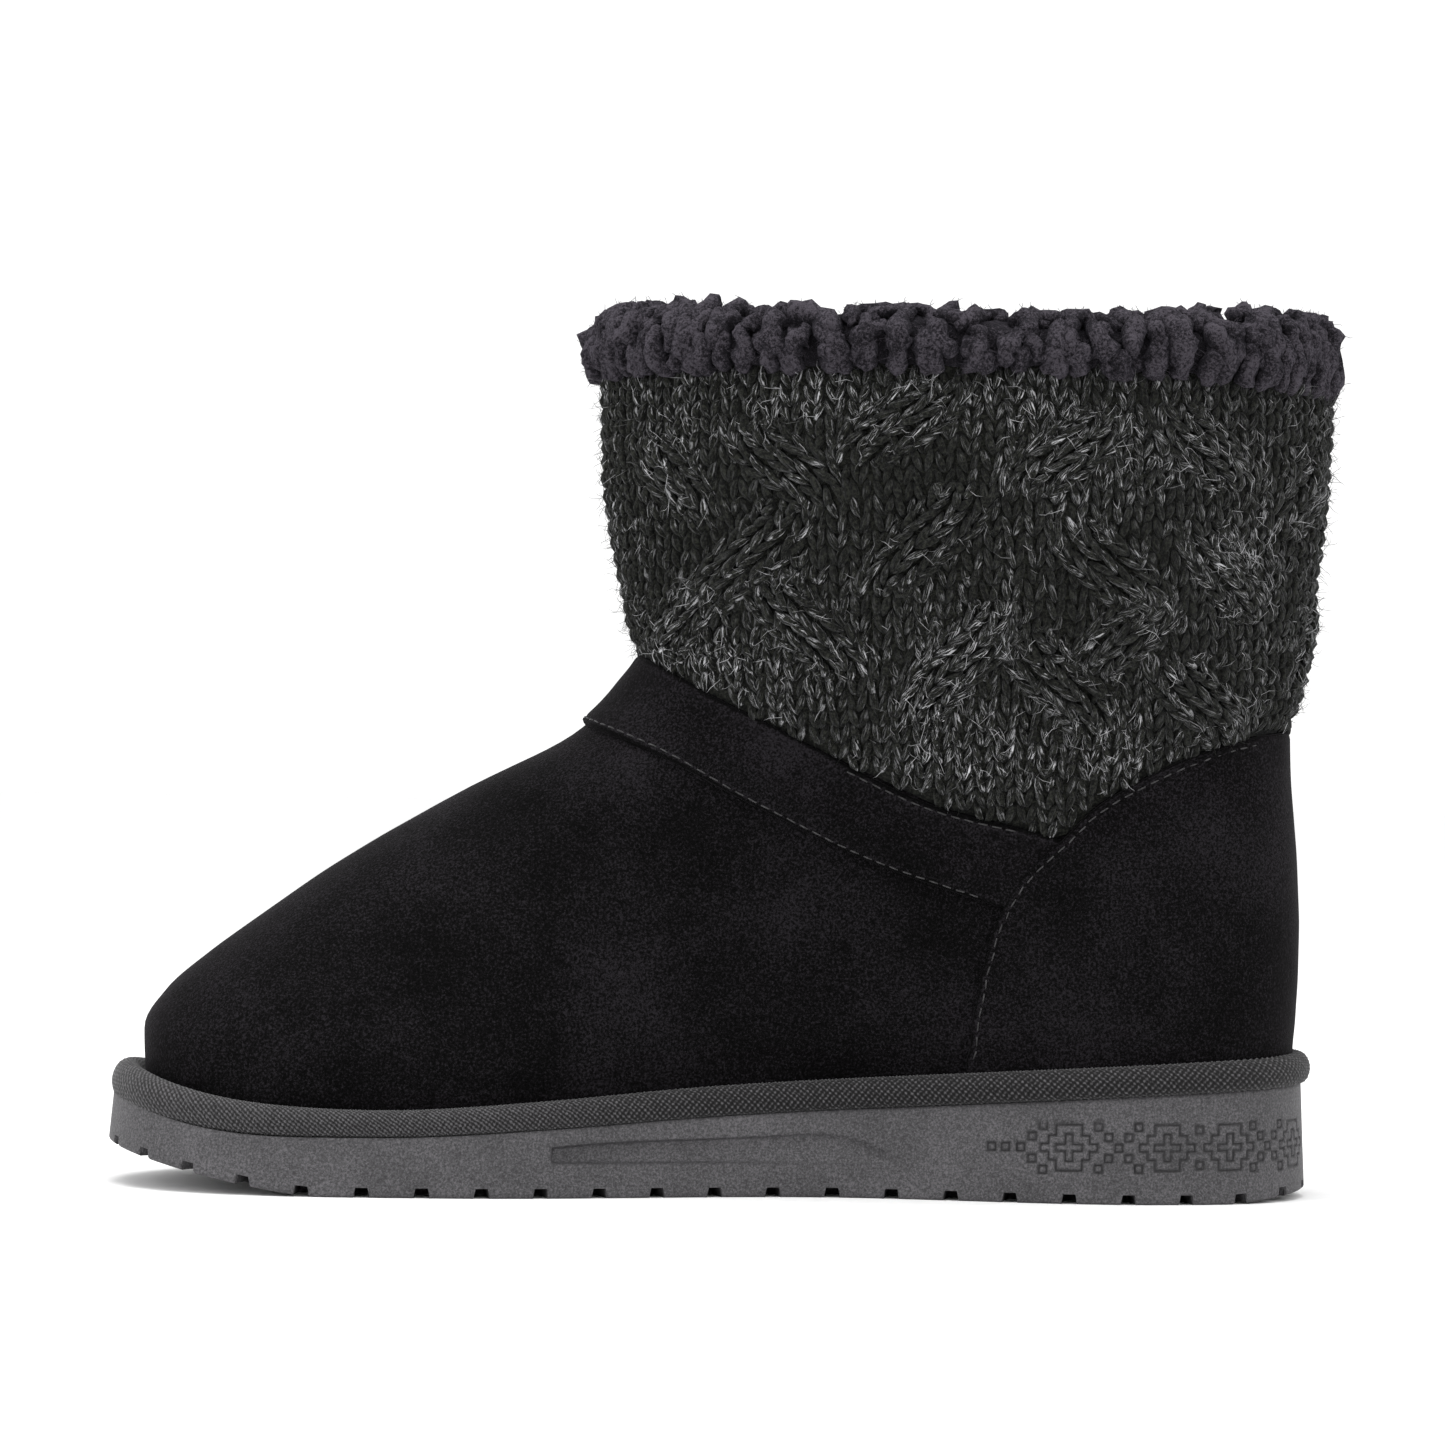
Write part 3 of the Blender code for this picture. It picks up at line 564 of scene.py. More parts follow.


# Soft creases of the suede, listed one by one: middle x and z, half length, half width, turn in
# degrees and depth, all but the turn in millimetres; a negative depth is a ridge.
VAMP_CREASES = (
    (203, 44, 26, 12, 30, 0.8), (172, 56, 30, 12, 35, -0.5), (148, 74, 26, 9, 30, 0.6),
    (120, 50, 24, 14, 80, 0.5), (228, 38, 12, 8, 60, -0.3), (186, 83, 16, 6, -25, 0.4),
    (162, 94, 14, 4, -30, 0.5), (100, 60, 18, 8, 60, -0.3),
)
COUNTER_CREASES = (
    (45, 62, 20, 8, 70, 0.4), (62, 45, 14, 6, 80, -0.3), (28, 80, 16, 6, 20, 0.35),
    (20, 45, 10, 8, 90, 0.3),
)


def crease_lift(point, creases):
    """Sum of long soft bells in the side view: each falls off as a gaussian along its own length
    and across its width."""
    lift = np.zeros(point.shape[:-1])
    for x, z, length, width, turn, depth in creases:
        dx, dz = point[..., 0] / MM - x, point[..., 2] / MM - z
        c, s = math.cos(math.radians(turn)), math.sin(math.radians(turn))
        along, across = dx * c + dz * s, dz * c - dx * s
        lift -= depth * MM * np.exp(-((along / length) ** 2) - (across / width) ** 2)
    return lift


def make_upper_surface(outer_material, lining):
    """The lasted shell: the last's own surface with soft creases, its rim, and the fleece lining
    3 to 4 mm inside it, whose pile swells as soft noise."""
    angle = turns(280)
    rising = np.concatenate([np.linspace(0, 1, 66), np.linspace(1, 2, 22)[1:]])
    point, out = last_frame(rising[:, None], angle[None, :])
    lift = crease_lift(point, VAMP_CREASES) + 0.12 * MM * ripple(point, 0.024, 3)
    outer = point + out * lift[..., None]
    point, out = last_frame(rising[::-2, None], angle[None, :])
    pile = UPPER_WALL + (0.6 * ripple(point, 0.007, 5) + 0.5) * MM
    grid = np.concatenate([outer, point - out * pile[..., None]])
    material = np.zeros(grid.shape[:2], int)
    material[len(outer) - 1:-1] = 1
    return put_grid("suede_upper", grid, [outer_material, lining], face_material=material.ravel())


def make_footbed(materials):
    """The fleece footbed: rings from its middle out to the lining, swelling as soft noise."""
    plan, _ = feather_plan(220)
    edge = moved_outwards(plan, -(UPPER_WALL + 0.4 * MM))
    spine = spine_of(edge, 0.24)
    rows = []
    for t in np.linspace(0, 1, 18):
        p = spine + (edge - spine) * t
        flat = np.column_stack([p, sole_top(p[:, 0]) + GAP + 4.0 * MM])
        flat[:, 2] += 0.35 * MM * ripple(flat, 0.008, 9) - 1.2 * MM * ease((t - 0.9) / 0.1)
        rows.append(flat)
    rows += [np.column_stack([p, sole_top(p[:, 0]) + GAP]) for p in (edge, spine)]
    return put_grid("fleece_footbed", rows[::-1], materials, wrap_rows=False)


def put_sewn(name, point, out, growth, creases, edge, materials):
    """A sewn piece from a grid on the last: its outer rows stand off by growth, its inner rows lie
    just in the piece below. Its tone paints shade black along the edge and on the tucked inner
    rows, and a faint highlight on the sewn ridge."""
    outer = point + out * (growth + crease_lift(point, creases))[..., None]
    inner = point - out * 0.2 * MM
    # Painted shade at the edge, and a faint painted highlight 1.2 mm in, on the sewn ridge.
    tone = bell(edge, 0.55 * MM) - 0.35 * bell(edge - 1.2 * MM, 0.5 * MM)
    return put_grid(name, np.concatenate([inner[::-1], outer]), materials, wrap_around=False,
                    tone=np.concatenate([np.ones_like(edge), tone]))


def edge_swell(distance, thickness):
    """Thickness of a sewn edge: it rises round from the border, stays full, and sinks a little
    where the stitch row pulls it in."""
    rise = np.sqrt(1 - (1 - np.clip(distance / (0.7 * MM), 0, 1)) ** 2)
    return thickness * rise - 0.30 * MM * bell(distance - 1.4 * MM, 0.5 * MM)


def band_lines():
    """The angles of the band's grid, and its side lines as levels."""
    angle = np.linspace(-2.16, 2.16, 300)
    return angle, level_on(BAND_LOWER, angle), level_on(BAND_UPPER, angle)


def make_band_surface(materials):
    """The instep band: between two side-view lines of the last, with turned, stitched edges."""
    angle, low, high = band_lines()
    t = 0.5 - 0.5 * np.cos(math.pi * np.linspace(0, 1, 28)[:, None])
    level = low + (high - low) * t
    point, out = last_frame(level, np.broadcast_to(angle, level.shape))
    below, above = (np.linalg.norm(point - point[k], axis=-1) for k in (0, -1))
    tuck = ease((2.13 - np.abs(angle)) / 0.16)[None, :]
    swell = edge_swell(np.minimum(below, above + 0.9 * MM), 1.75 * MM)
    growth = swell * (0.55 + 0.45 * tuck) + 0.10 * MM * ripple(point, 0.02, 11)
    return put_sewn("suede_band", point, out, growth, VAMP_CREASES, np.minimum(below, above),
                    materials)


def counter_edge():
    """Rows of levels up the counter, and the angle of its front edge at each."""
    levels = np.concatenate([np.linspace(0.02, 0.80, 40), np.linspace(0.80, 0.862, 18)[1:]])
    angle = np.linspace(0.30 * math.pi, math.pi, 500)
    point = last_point(levels[:, None], angle[None, :])
    behind = point[..., 0] < smooth(*columns(COUNTER_FRONT), point[..., 2])
    first = np.argmax(behind, axis=1)
    first[~behind.any(axis=1)] = len(angle) - 1
    return levels, angle[first]


def make_counter_surface(materials):
    """The heel counter: each row of the last from its front edge round the heel to the other,
    with a shallow groove down the middle of the heel."""
    levels, edge = counter_edge()
    share = np.linspace(-1, 1, 190)
    share = np.sign(share) * (1 - (1 - np.abs(share)) ** 1.5)
    angle = math.pi + (math.pi - edge)[:, None] * share[None, :]
    point, out = last_frame(np.broadcast_to(levels[:, None], angle.shape), angle)
    side = np.minimum(*(np.linalg.norm(point - point[:, k, None], axis=-1) for k in (0, -1)))
    top = np.abs(point[..., 2] - COUNTER_FRONT[-1][0])
    growth = edge_swell(np.minimum(side, top * 1.2 + 0.2 * MM), 2.0 * MM)
    growth += 0.1 * MM * ripple(point, 0.022, 13)
    growth -= 0.35 * MM * bell(point[..., 1], 1.6 * MM) * (point[..., 0] < 0.03)
    return put_sewn("suede_counter", point, out, growth, COUNTER_CREASES, side, materials)


def rings_round(paths, side, around):
    """A ring of unit vectors at each point of many paths, square to the path and turned from the
    side vector."""
    tangent = unit(np.gradient(paths, axis=1))
    b = unit(np.cross(tangent, side))
    n = np.cross(b, tangent)
    turn = 2 * math.pi * np.arange(around) / around
    return np.cos(turn)[:, None] * n[:, :, None] + np.sin(turn)[:, None] * b[:, :, None]


def repeated(faces, count, points):
    """The faces of one shape for count shapes of so many points."""
    return (faces[None] + (np.arange(count) * points)[:, None, None]).reshape(-1, faces.shape[1])


def tubes(paths, radius, side, around):
    """Closed tubes along many paths at once: a ring of points at each path point, and each end
    ring closed by a strip of quads."""
    points = paths[:, :, None] + rings_round(paths, side, around) * radius[..., None, None]
    count, rows = paths.shape[:2]
    i = np.arange(around // 2 - 1)
    cap = np.stack([i, i + 1, around - 2 - i, around - 1 - i], axis=1)
    one = np.concatenate([quads(rows, around), cap[:, ::-1], cap + (rows - 1) * around])
    return points.reshape(-1, 3), repeated(one, count, rows * around)


def stitch_row(path, normal, height):
    """Thread showing along a seam: capsules 2.4 mm long at a 3.2 mm pitch, whose ends dip into
    the suede."""
    run, pitch = run_along(path), 3.2 * MM
    at = np.arange(pitch, run[-1] - pitch / 2, pitch)
    place, out = placed(at, run, path), unit(placed(at, run, normal))
    way = unit(placed(at + 0.2 * MM, run, path) - place)
    wobble = (hashed(np.arange(len(place)), len(place)) - 0.5) * 0.12
    way = unit(way + np.cross(out, way) * wobble[:, None])
    s = np.array([-1, -0.75, 0, 0.75, 1.0]) * 1.2 * MM
    dip = height + np.array([-0.40, 0.0, 0.08, 0.0, -0.40]) * MM
    paths = place[:, None] + way[:, None] * s[:, None] + out[:, None] * dip[:, None]
    radius = np.broadcast_to(np.array([0.10, 0.19, 0.21, 0.19, 0.10]) * MM, paths.shape[:2])
    return tubes(paths, radius, out[:, None], 6)


def make_stitches(materials):
    """The stitch rows: 1.3 mm inside the band's lower edge, 1.5 mm inside its upper edge, and
    1.6 mm inside the counter's edge, on both sides of the boot. The last's levels lie slanted
    there, so one of the band's millimetres is 0.0050 of a level."""
    angle, low, high = band_lines()
    per_mm = 0.0050
    counter_foot = 0.1085
    keep = np.abs(angle) < 2.0
    runs = []
    for level, reach in ((low + 1.3 * per_mm, 1.0), (high - 1.495 * per_mm, counter_foot)):
        point, out = last_frame(level[keep], angle[keep])
        point = point + out * crease_lift(point, VAMP_CREASES)[:, None]
        for side in (1, -1):
            part = (angle[keep] * side > 0) & (point[:, 0] < reach)
            runs.append(stitch_row(point[part], out[part], 1.62 * MM))
    levels, edge = counter_edge()
    keep = levels > 0.06
    for side in (1, -1):
        point, out = last_frame(levels, math.pi - side * (math.pi - edge))
        inwards = -side * np.cross(out, unit(np.gradient(point, axis=0)))
        runs.append(stitch_row((point + inwards * 1.6 * MM)[keep], out[keep], 1.85 * MM))
    points, faces, first = [], [], 0
    for p, f in runs:
        points.append(p)
        faces.append(f + first)
        first += len(p)
    return put_mesh("seam_stitches", np.concatenate(points), np.concatenate(faces), materials)


# The knit: width of a wale, height of a course, path points in a leg, sides of its tube, and the
# heights where it starts and ends.
WALE = 4.7 * MM
COURSE = 3.55 * MM
LEG_RINGS = 5
LEG_AROUND = 6
KNIT_FOOT = 0.070
KNIT_TOP = 0.1850
BACKING_TOP = 0.1865
PLUMB_HEIGHT = 0.150

# The cables' crossings: x and z of the middle, lean (1 rises to the heel), half width, half
# height and how light the yarn is there. Millimetres.
CROSSINGS = (
    (82, 121, 1, 12, 13, 0.85), (90, 147, 1, 12, 12, 0.15), (128, 143, 1, 13, 12, 0.35),
    (49, 141, -1, 12, 11, 0.25), (60, 117, -1, 12, 12, 0.30), (24, 141, -1, 9, 11, 0.55),
    (28, 112, -1, 11, 10, 0.25), (46, 127, 1, 10, 9, 0.45), (119, 163, -1, 11, 9, 0.25),
    (115, 128, -1, 12, 12, 0.35), (95, 172, 1, 12, 9, 0.35), (60, 166, 1, 11, 9, 0.50),
    (30, 168, -1, 10, 9, 0.35), (142, 160, -1, 8, 9, 0.40), (143, 128, 1, 8, 10, 0.55),
    (8, 158, 1, 7, 9, 0.35), (4, 124, 1, 7, 10, 0.35),
)
# Light patches of the marled yarn: x, z, half width, half height and lightness.
FLECK_PATCHES = (
    (134, 118, 22, 8, 0.7), (78, 101, 22, 8, 0.75), (46, 102, 10, 7, 0.7), (45, 165, 9, 6, 0.7),
    (110, 178, 16, 7, 0.8), (68, 178, 13, 9, 0.7), (140, 172, 10, 8, 0.6), (20, 150, 8, 12, 0.5),
    (125, 158, 14, 12, -0.6), (92, 160, 16, 8, -0.6), (140, 140, 12, 18, -0.35),
    (56, 130, 12, 8, -0.4),
)


def seam_height(x, above=0.0):
    """Height of the seam where the knit meets the band and the counter."""
    z, counter_x = columns(COUNTER_FRONT[5:])
    over_band = np.interp(x, *columns(BAND_UPPER[1:]), left=0)
    return np.maximum(over_band, np.interp(x, counter_x[::-1], z[::-1], right=0)) + above


def level_at(z, angle):
    """The level of the last at a height, found by three turns of the height formula's inverse."""
    z, angle = np.broadcast_arrays(z, angle)
    level = np.where(z > ANKLE_HEIGHT, 1 + (z - ANKLE_HEIGHT) / 0.066, z / ANKLE_HEIGHT)
    for _ in range(3):
        x, _ = last_plan(np.clip(level, 0, 2), angle)
        base = sole_top(x) + GAP
        over = 1 + (z - ANKLE_HEIGHT) / (collar_height(x) - ANKLE_HEIGHT)
        level = np.where(z > ANKLE_HEIGHT, over, (z - base) / (ANKLE_HEIGHT - base))
    return np.clip(level, 0.05, 2)


def shaft_point(z, angle):
    return last_point(level_at(z, angle), angle)


@functools.cache
def shaft():
    """The run round the shaft at mid height against the angle, for even wales: angles, runs, the
    points there and the whole run."""
    angle = np.linspace(0, 2 * math.pi, 1440)
    point = shaft_point(PLUMB_HEIGHT, angle)
    run = run_along(point)
    return angle, run, point, run[-1]


@functools.cache
def places_round(x):
    """The places round the shaft over x on the inner side and on the outer side, its mirror."""
    _, run, point, total = shaft()
    half = len(run) // 2
    centre = np.interp(x * MM, point[:half, 0][::-1], run[:half][::-1])
    return centre, total - centre


def crossings():
    """Each crossing on both sides of the boot: its place round, height, lean, half width, half
    height and lightness. The outer side mirrors the inner one."""
    return [(place, z * MM, lean * side, wide * MM, high * MM, bright)
            for x, z, lean, wide, high, bright in CROSSINGS
            for side, place in zip((1, -1), places_round(x))]


def apart(u, place):
    """Signed way round the shaft from a place."""
    total = shaft()[3]
    return (u - place + total / 2) % total - total / 2


def knit_relief(u, z):
    """The plain knit's relief and lightness: it rises under each crossing's strand, sinks in a
    trough on either side of it, and is lighter in the yarn's pale patches. Also gives whether a
    point is under a strand."""
    lift, light, under = (np.zeros(np.broadcast(u, z).shape) for _ in range(3))
    for place, level, lean, wide, high, bright in crossings():
        a, b = apart(u, place) / wide, (z - level) / high
        inside = ease((1.5 - np.abs(a)) / 0.7) * ease((1.25 - np.abs(b)) / 0.5)
        ridge = a - lean * 0.75 * np.sin(np.clip(b, -1, 1) * math.pi / 2)
        lift += 0.5 * MM * bell(ridge, 0.5) * inside
        lift -= 1.0 * MM * bell(np.abs(ridge) - 0.75, 0.28) * inside
        light = np.maximum(light, 0.6 * bright * inside * bell(ridge, 0.9))
        under = np.maximum(under, (np.abs(ridge) < 0.36) & (np.abs(b) < 0.9))
    for x, level, wide, high, bright in FLECK_PATCHES:
        for place in places_round(x):
            a, b = apart(u, place) / (wide * MM), (z - level * MM) / (high * MM)
            light = light + bright * np.exp(-(a**2) - b**2)
    return lift, np.clip(light, -0.5, 1), under > 0


def knit_swell(x, z):
    """Thickness of the knit over the last: pinched at its seams, full between."""
    low = ease((z - seam_height(x)) / (9 * MM))
    high = 0.75 + 0.25 * ease((0.187 - z) / (5 * MM))
    return 1.5 * MM + (KNIT_THICKNESS - 1.5 * MM) * low * high


def plumb_angle(turn, z):
    """Angle at a height whose point stands over the same length as at mid height, found by three
    Newton steps, so that the wales hang plumb on the sides; front and back keep their angle."""
    aim = shaft_point(PLUMB_HEIGHT, turn)[..., 0]
    solved = turn
    for _ in range(3):
        here = shaft_point(z, solved)[..., 0]
        slope = (shaft_point(z, solved + 0.02)[..., 0] - here) / 0.02
        steep = np.sign(slope) * np.maximum(np.abs(slope), 0.012)
        solved = solved - np.clip((here - aim) / steep, -0.2, 0.2)
    share = ease(np.abs(np.sin(turn)) / 0.8) * ease((PLUMB_HEIGHT - z) / 0.015)
    return turn + share * np.clip(solved - turn, -0.5, 0.5)


def fabric_point(u, z, sunk, plumb=True):
    """Point and outward normal of the knit for arrays of run and height, with its lightness and
    whether it is under a strand."""
    lift, light, under = knit_relief(u, z)
    angle, run, _, total = shaft()
    turn = np.interp(u % total, run, angle)
    if plumb:
        turn = plumb_angle(turn, z)
    point, out = last_frame(level_at(z, turn), turn)
    free = ease((z - seam_height(point[..., 0])) / (7 * MM))
    grown = knit_swell(point[..., 0], z) + lift * free - sunk
    return point + out * grown[..., None], out, light, under


def make_knit_backing(materials):
    """The fabric behind the stitches: a closed shell 1.35 mm under their crowns, from the seam up
    to under the cuff. Its tone of -1 leaves out nearly all light flecks: painted shade in the
    gaps between the stitches."""
    angle, run, _, total = shaft()
    u = np.linspace(0, total, 220, endpoint=False)
    turn = np.interp(u, run, angle)
    level = level_on(functools.partial(seam_height, above=0.2 * MM), turn, 0.5, 1.25)
    foot = last_point(level, turn)[..., 2]
    rows = []
    for t in np.linspace(0, 1, 36):
        rows.append(fabric_point(u, foot + (BACKING_TOP - foot) * t, 1.35 * MM, plumb=False)[0])
    for t in np.linspace(1, 0, 6):
        point, out = last_frame(level_at(foot + (BACKING_TOP - foot) * t, turn), turn)
        rows.append(point - out * 0.3 * MM)
    # Tone -1: painted shade, the backing seen in the gaps has almost no light flecks.
    return put_grid("knit_backing", rows, materials, tone=np.full((len(rows), len(u)), -1.0))


def legs_of(w, c, side):
    """What plain and cabled legs share, for stitches numbered by wale, course and side: the steps
    along a leg, six random shifts, how far it bows out, and its radius."""
    s = np.linspace(0, 1, LEG_RINGS)
    jitter = [hashed(w, c, side, k)[:, None] - 0.5 for k in range(6)]
    bow = np.sin(math.pi * s) ** 0.8
    return s, jitter, bow, (0.26 + 0.74 * bow * (1 + 0.30 * jitter[3])) * MM


def grid_of(*ranges):
    return [a.ravel() for a in np.meshgrid(*ranges, indexing="ij")]


def covered(point):
    """Whether a leg lies over the knit's seam, but for its ends, and its middle under the cuff."""
    over = point[..., 2] - seam_height(point[..., 0])
    return (over > -2.0 * MM).all(axis=1) & (over[:, 2] > -0.1 * MM) & (point[:, 2, 2] < KNIT_TOP)


def plain_legs(first, last):
    """The legs of the plain stitches from one share of the run to another. Each stitch is a V of
    two legs: a leg starts low in the wale's middle and leans out and up, thick in its middle and
    sunk at both ends. Stitches under a cable's strand are left out."""
    total = shaft()[3]
    count = round(total / WALE)
    w, c, side = grid_of(np.arange(round(first * count), round(last * count)),
                         np.arange(int((KNIT_TOP - KNIT_FOOT) / COURSE) + 1), [-1, 1])
    s, jitter, bow, radius = legs_of(w, c, side)
    w, c, side = w[:, None], c[:, None], side[:, None]
    u = (w + 0.5 + side * (0.05 + 0.36 * s**0.85) + 0.14 * jitter[0]
         + 0.10 * np.sin(c * 0.8 + w * 0.5) + 0.25 * jitter[5] * (s - 0.5)) * total / count
    z = KNIT_FOOT + (c - 0.15 + (1.42 + 0.2 * jitter[1]) * s) * COURSE + 0.5 * MM * np.sin(w * 0.9)
    sunk = (1.9 - 1.15 * bow + 0.7 * jitter[2]) * MM
    point, out, light, under = fabric_point(u, z, sunk)
    keep = covered(point) & ~under[:, 2]
    tone = light[:, 2] + 0.9 * jitter[4][:, 0] - 0.1
    return point[keep], radius[keep], out[keep], tone[keep]


def strand_legs(first, last):
    """The legs of the cables' strands from one share of the run to another. A strand is three
    wales wide and climbs slantwise across its crossing on a sine, standing proud in the middle
    and diving under the plain knit at both ends."""
    total, runs = shaft()[3], []
    for number, (place, level, lean, wide, high, bright) in enumerate(crossings()):
        if not first * total <= place < last * total:
            continue
        reach = 0.75 * wide
        courses = round(2 * math.hypot(reach, high) / (COURSE * 0.95))
        w, c, side = grid_of([-1, 0, 1], np.arange(courses), [-1, 1])
        s, jitter, bow, radius = legs_of(w + 7, c + number, side)
        b = -1 + 2 * (c[:, None] - 0.2 + 1.45 * s) / courses
        across = (w[:, None] + side[:, None] * (0.05 + 0.34 * s) + 0.15 * jitter[0]) * WALE
        bend = np.clip(b, -1, 1) * math.pi / 2
        slope = np.arctan2(lean * reach * math.pi / 2 * np.cos(bend), high)
        u = place + lean * reach * np.sin(bend) + across * np.cos(slope)
        z = level + b * high - across * np.sin(slope)
        crown = 1 - (across / (2.1 * WALE)) ** 2
        proud = (1.35 * np.clip(1 - b**2, 0, 1) ** 0.6 * crown - 0.3) * MM
        sunk = (1.7 - 1.1 * bow + 0.5 * jitter[2]) * MM - proud
        point, out, light, _ = fabric_point(u, z, sunk)
        keep = covered(point)
        tone = 0.50 * bright + 0.35 * light[:, 2] + 0.9 * jitter[4][:, 0] - 0.1
        runs.append((point[keep], radius[keep] * 1.05, out[keep], tone[keep]))
    return stacked(runs)


def stacked(runs):
    """Several runs of the same arrays as one."""
    return [np.concatenate(part) for part in zip(*runs)]


def knit_legs(first, last):
    """Paths, radii, normals and lightness of all the legs, plain and cabled."""
    return stacked((plain_legs(first, last), strand_legs(first, last)))


def make_knit_stitches(name, first, last, materials):
    """One side of the knit: every leg as a closed tube, with its UV along and round the yarn and
    its lightness as an attribute."""
    paths, radius, out, tone = knit_legs(first, last)
    points, faces = tubes(paths, radius, out, LEG_AROUND)
    shape = (*paths.shape[:2], LEG_AROUND)
    along = np.broadcast_to(np.arange(LEG_RINGS)[None, :, None], shape) / LEG_RINGS
    turn = np.broadcast_to(np.arange(LEG_AROUND)[None, None, :], shape) / LEG_AROUND
    shift = hashed(np.arange(len(paths)), first)[:, None, None] * 50
    uv = np.stack([turn + shift, along + shift], axis=-1)
    spread = np.broadcast_to(tone[:, None, None], shape)
    return put_mesh(name, points, faces, materials, uv=uv, tone=spread)


def hair_mesh(name, root, way, out, length, radius, tone, materials, curl, seed):
    """Fine closed hairs: a three-sided spike of two rings and a tip, that bends away from its
    direction towards the outward normal and back."""
    s = np.array([0.0, 0.5, 1.0])
    bend = unit(np.random.default_rng(seed).normal(size=root.shape)) * curl
    paths = (root[:, None] + way[:, None] * (s * length[:, None])[..., None]
             + (out[:, None] * 0.25 + bend[:, None]) * ((s - s**2) * length[:, None])[..., None])
    ring = rings_round(paths, out[:, None] + 0.01, 3)
    taper = np.array([1.0, 0.85, 0.0]) * radius
    points = (paths[:, :, None] + ring * taper[None, :, None, None]).reshape(-1, 9, 3)[:, :7]
    body = quads(2, 3)
    triangles = np.concatenate([body[:, [0, 1, 2]], body[:, [0, 2, 3]],
                                [[2, 1, 0], [3, 4, 6], [4, 5, 6], [5, 3, 6]]])
    spread = np.broadcast_to(tone[:, None], (len(root), 7))
    return put_mesh(name, points, repeated(triangles, len(root), 7), materials, tone=spread)


def make_knit_fuzz(materials):
    """Loose fibres of the yarn: spikes rooted on the legs, mostly along them, light where the
    marled yarn is light."""
    paths, _, out, tone = knit_legs(0.0, 1.0)
    rng = np.random.default_rng(21)
    pick = rng.integers(0, len(paths), 10000)
    step = rng.integers(1, LEG_RINGS - 1, len(pick))
    normal = out[pick, step]
    along = unit(paths[pick, step + 1] - paths[pick, step - 1])
    way = unit(along * rng.choice([-1, 1], len(pick))[:, None]
               + 0.75 * rng.normal(size=along.shape) + 0.25 * normal)
    root = paths[pick, step] + normal * 0.95 * MM
    length = rng.uniform(1.8, 5.0, len(pick)) * MM
    light = np.clip(tone[pick] + rng.normal(0.0, 0.35, len(pick)), -0.5, 1.4)
    return hair_mesh("knit_fuzz", root, way, normal, length, 0.055 * MM, light, materials, 0.6, 22)


# The cuff's section: how far it stands out from the last, and its height over the cuff's foot.
CUFF_SECTION = ((0.4, 1.4), (4.0, 0.8), (5.6, 4.0), (5.6, 8.2), (3.8, 12.0), (0.0, 14.0),
                (-5.0, 14.4), (-9.0, 9.2), (-9.6, 2.4), (-7.8, -6.0), (-4.2, -10.5), (-3.2, 4.0))

# How much the photograph's crest stands over an even roll, in millimetres, from heel to toe.
CREST_STATIONS = (0.0, 0.004, 0.02, 0.037, 0.069, 0.095, 0.121, 0.152)
CREST_LIFTS = (3.2, 3.0, 0.8, -1.3, -2.4, -1.0, -1.5, 0.0)

# The fleece's locks, a row for each belt of them: how many, where on the section they start and
# how far they climb in 120ths of it, their radius in millimetres, and how far they may turn.
SECTION_STEPS, ROUND_STEPS = 120, 720
LOCK_BELTS = ((98, 7, 30, 2.25, 0.35), (92, 21, 30, 2.35, 0.7), (68, 37, 26, 2.3, 1.3),
              (52, 50, 24, 2.3, 1.8), (48, 70, 26, 2.3, 1.2))
LOCK_AROUND = 10


def cuff_grid(around, rows):
    """The cuff's closed roll and its outward normals: the section is carried round the collar. It
    is slimmer and droops at the rear."""
    angle = turns(around)
    grid = []
    for grow, up in section_round(np.array(CUFF_SECTION) * MM, rows)[0]:
        level = np.clip(level_at(CUFF_BOTTOM + up, angle), 0, 2)
        x, y = last_plan(level, angle)
        slim = np.where(grow > 0, 1 - 0.45 * ease((0.022 - x) / 0.02), 1.0)
        plan = moved_outwards(np.column_stack([x, y]), grow * slim)
        foot = CUFF_BOTTOM - CUFF_REAR_DROP * ease(1 - x / (0.14 * LAST_LENGTH))
        crest = smooth(CREST_STATIONS, CREST_LIFTS, x) * MM * ease(up / (10 * MM))
        grid.append(np.column_stack([plan, foot + up + crest]))
    grid = np.array(grid)
    round_, up = (np.roll(grid, -1, axis=k) - np.roll(grid, 1, axis=k) for k in (1, 0))
    return grid, unit(np.cross(round_, up))


def make_cuff_core(materials):
    """The fleece roll under the locks, swelling and sinking as soft noise, with its tone set low
    as painted shade under the locks.
    """
    grid, out = cuff_grid(240, 40)
    lift = (0.7 * ripple(grid, 0.006, 31) - 0.9) * MM
    # Tone of -0.2: painted shade on the roll under the locks.
    return put_grid("fleece_core", grid + out * lift[..., None], materials,
                    tone=np.full(grid.shape[:2], -0.2))


def bilinear(grid, row, column):
    """Values of a grid that closes both ways, between its points."""
    rows, around = grid.shape[:2]
    r, c = np.floor(row).astype(int), np.floor(column).astype(int)
    f, g = (row - r)[..., None], (column - c)[..., None]
    low, high = (grid[k % rows, c % around] * (1 - g) + grid[k % rows, (c + 1) % around] * g
                 for k in (r, r + 1))
    return low * (1 - f) + high * f


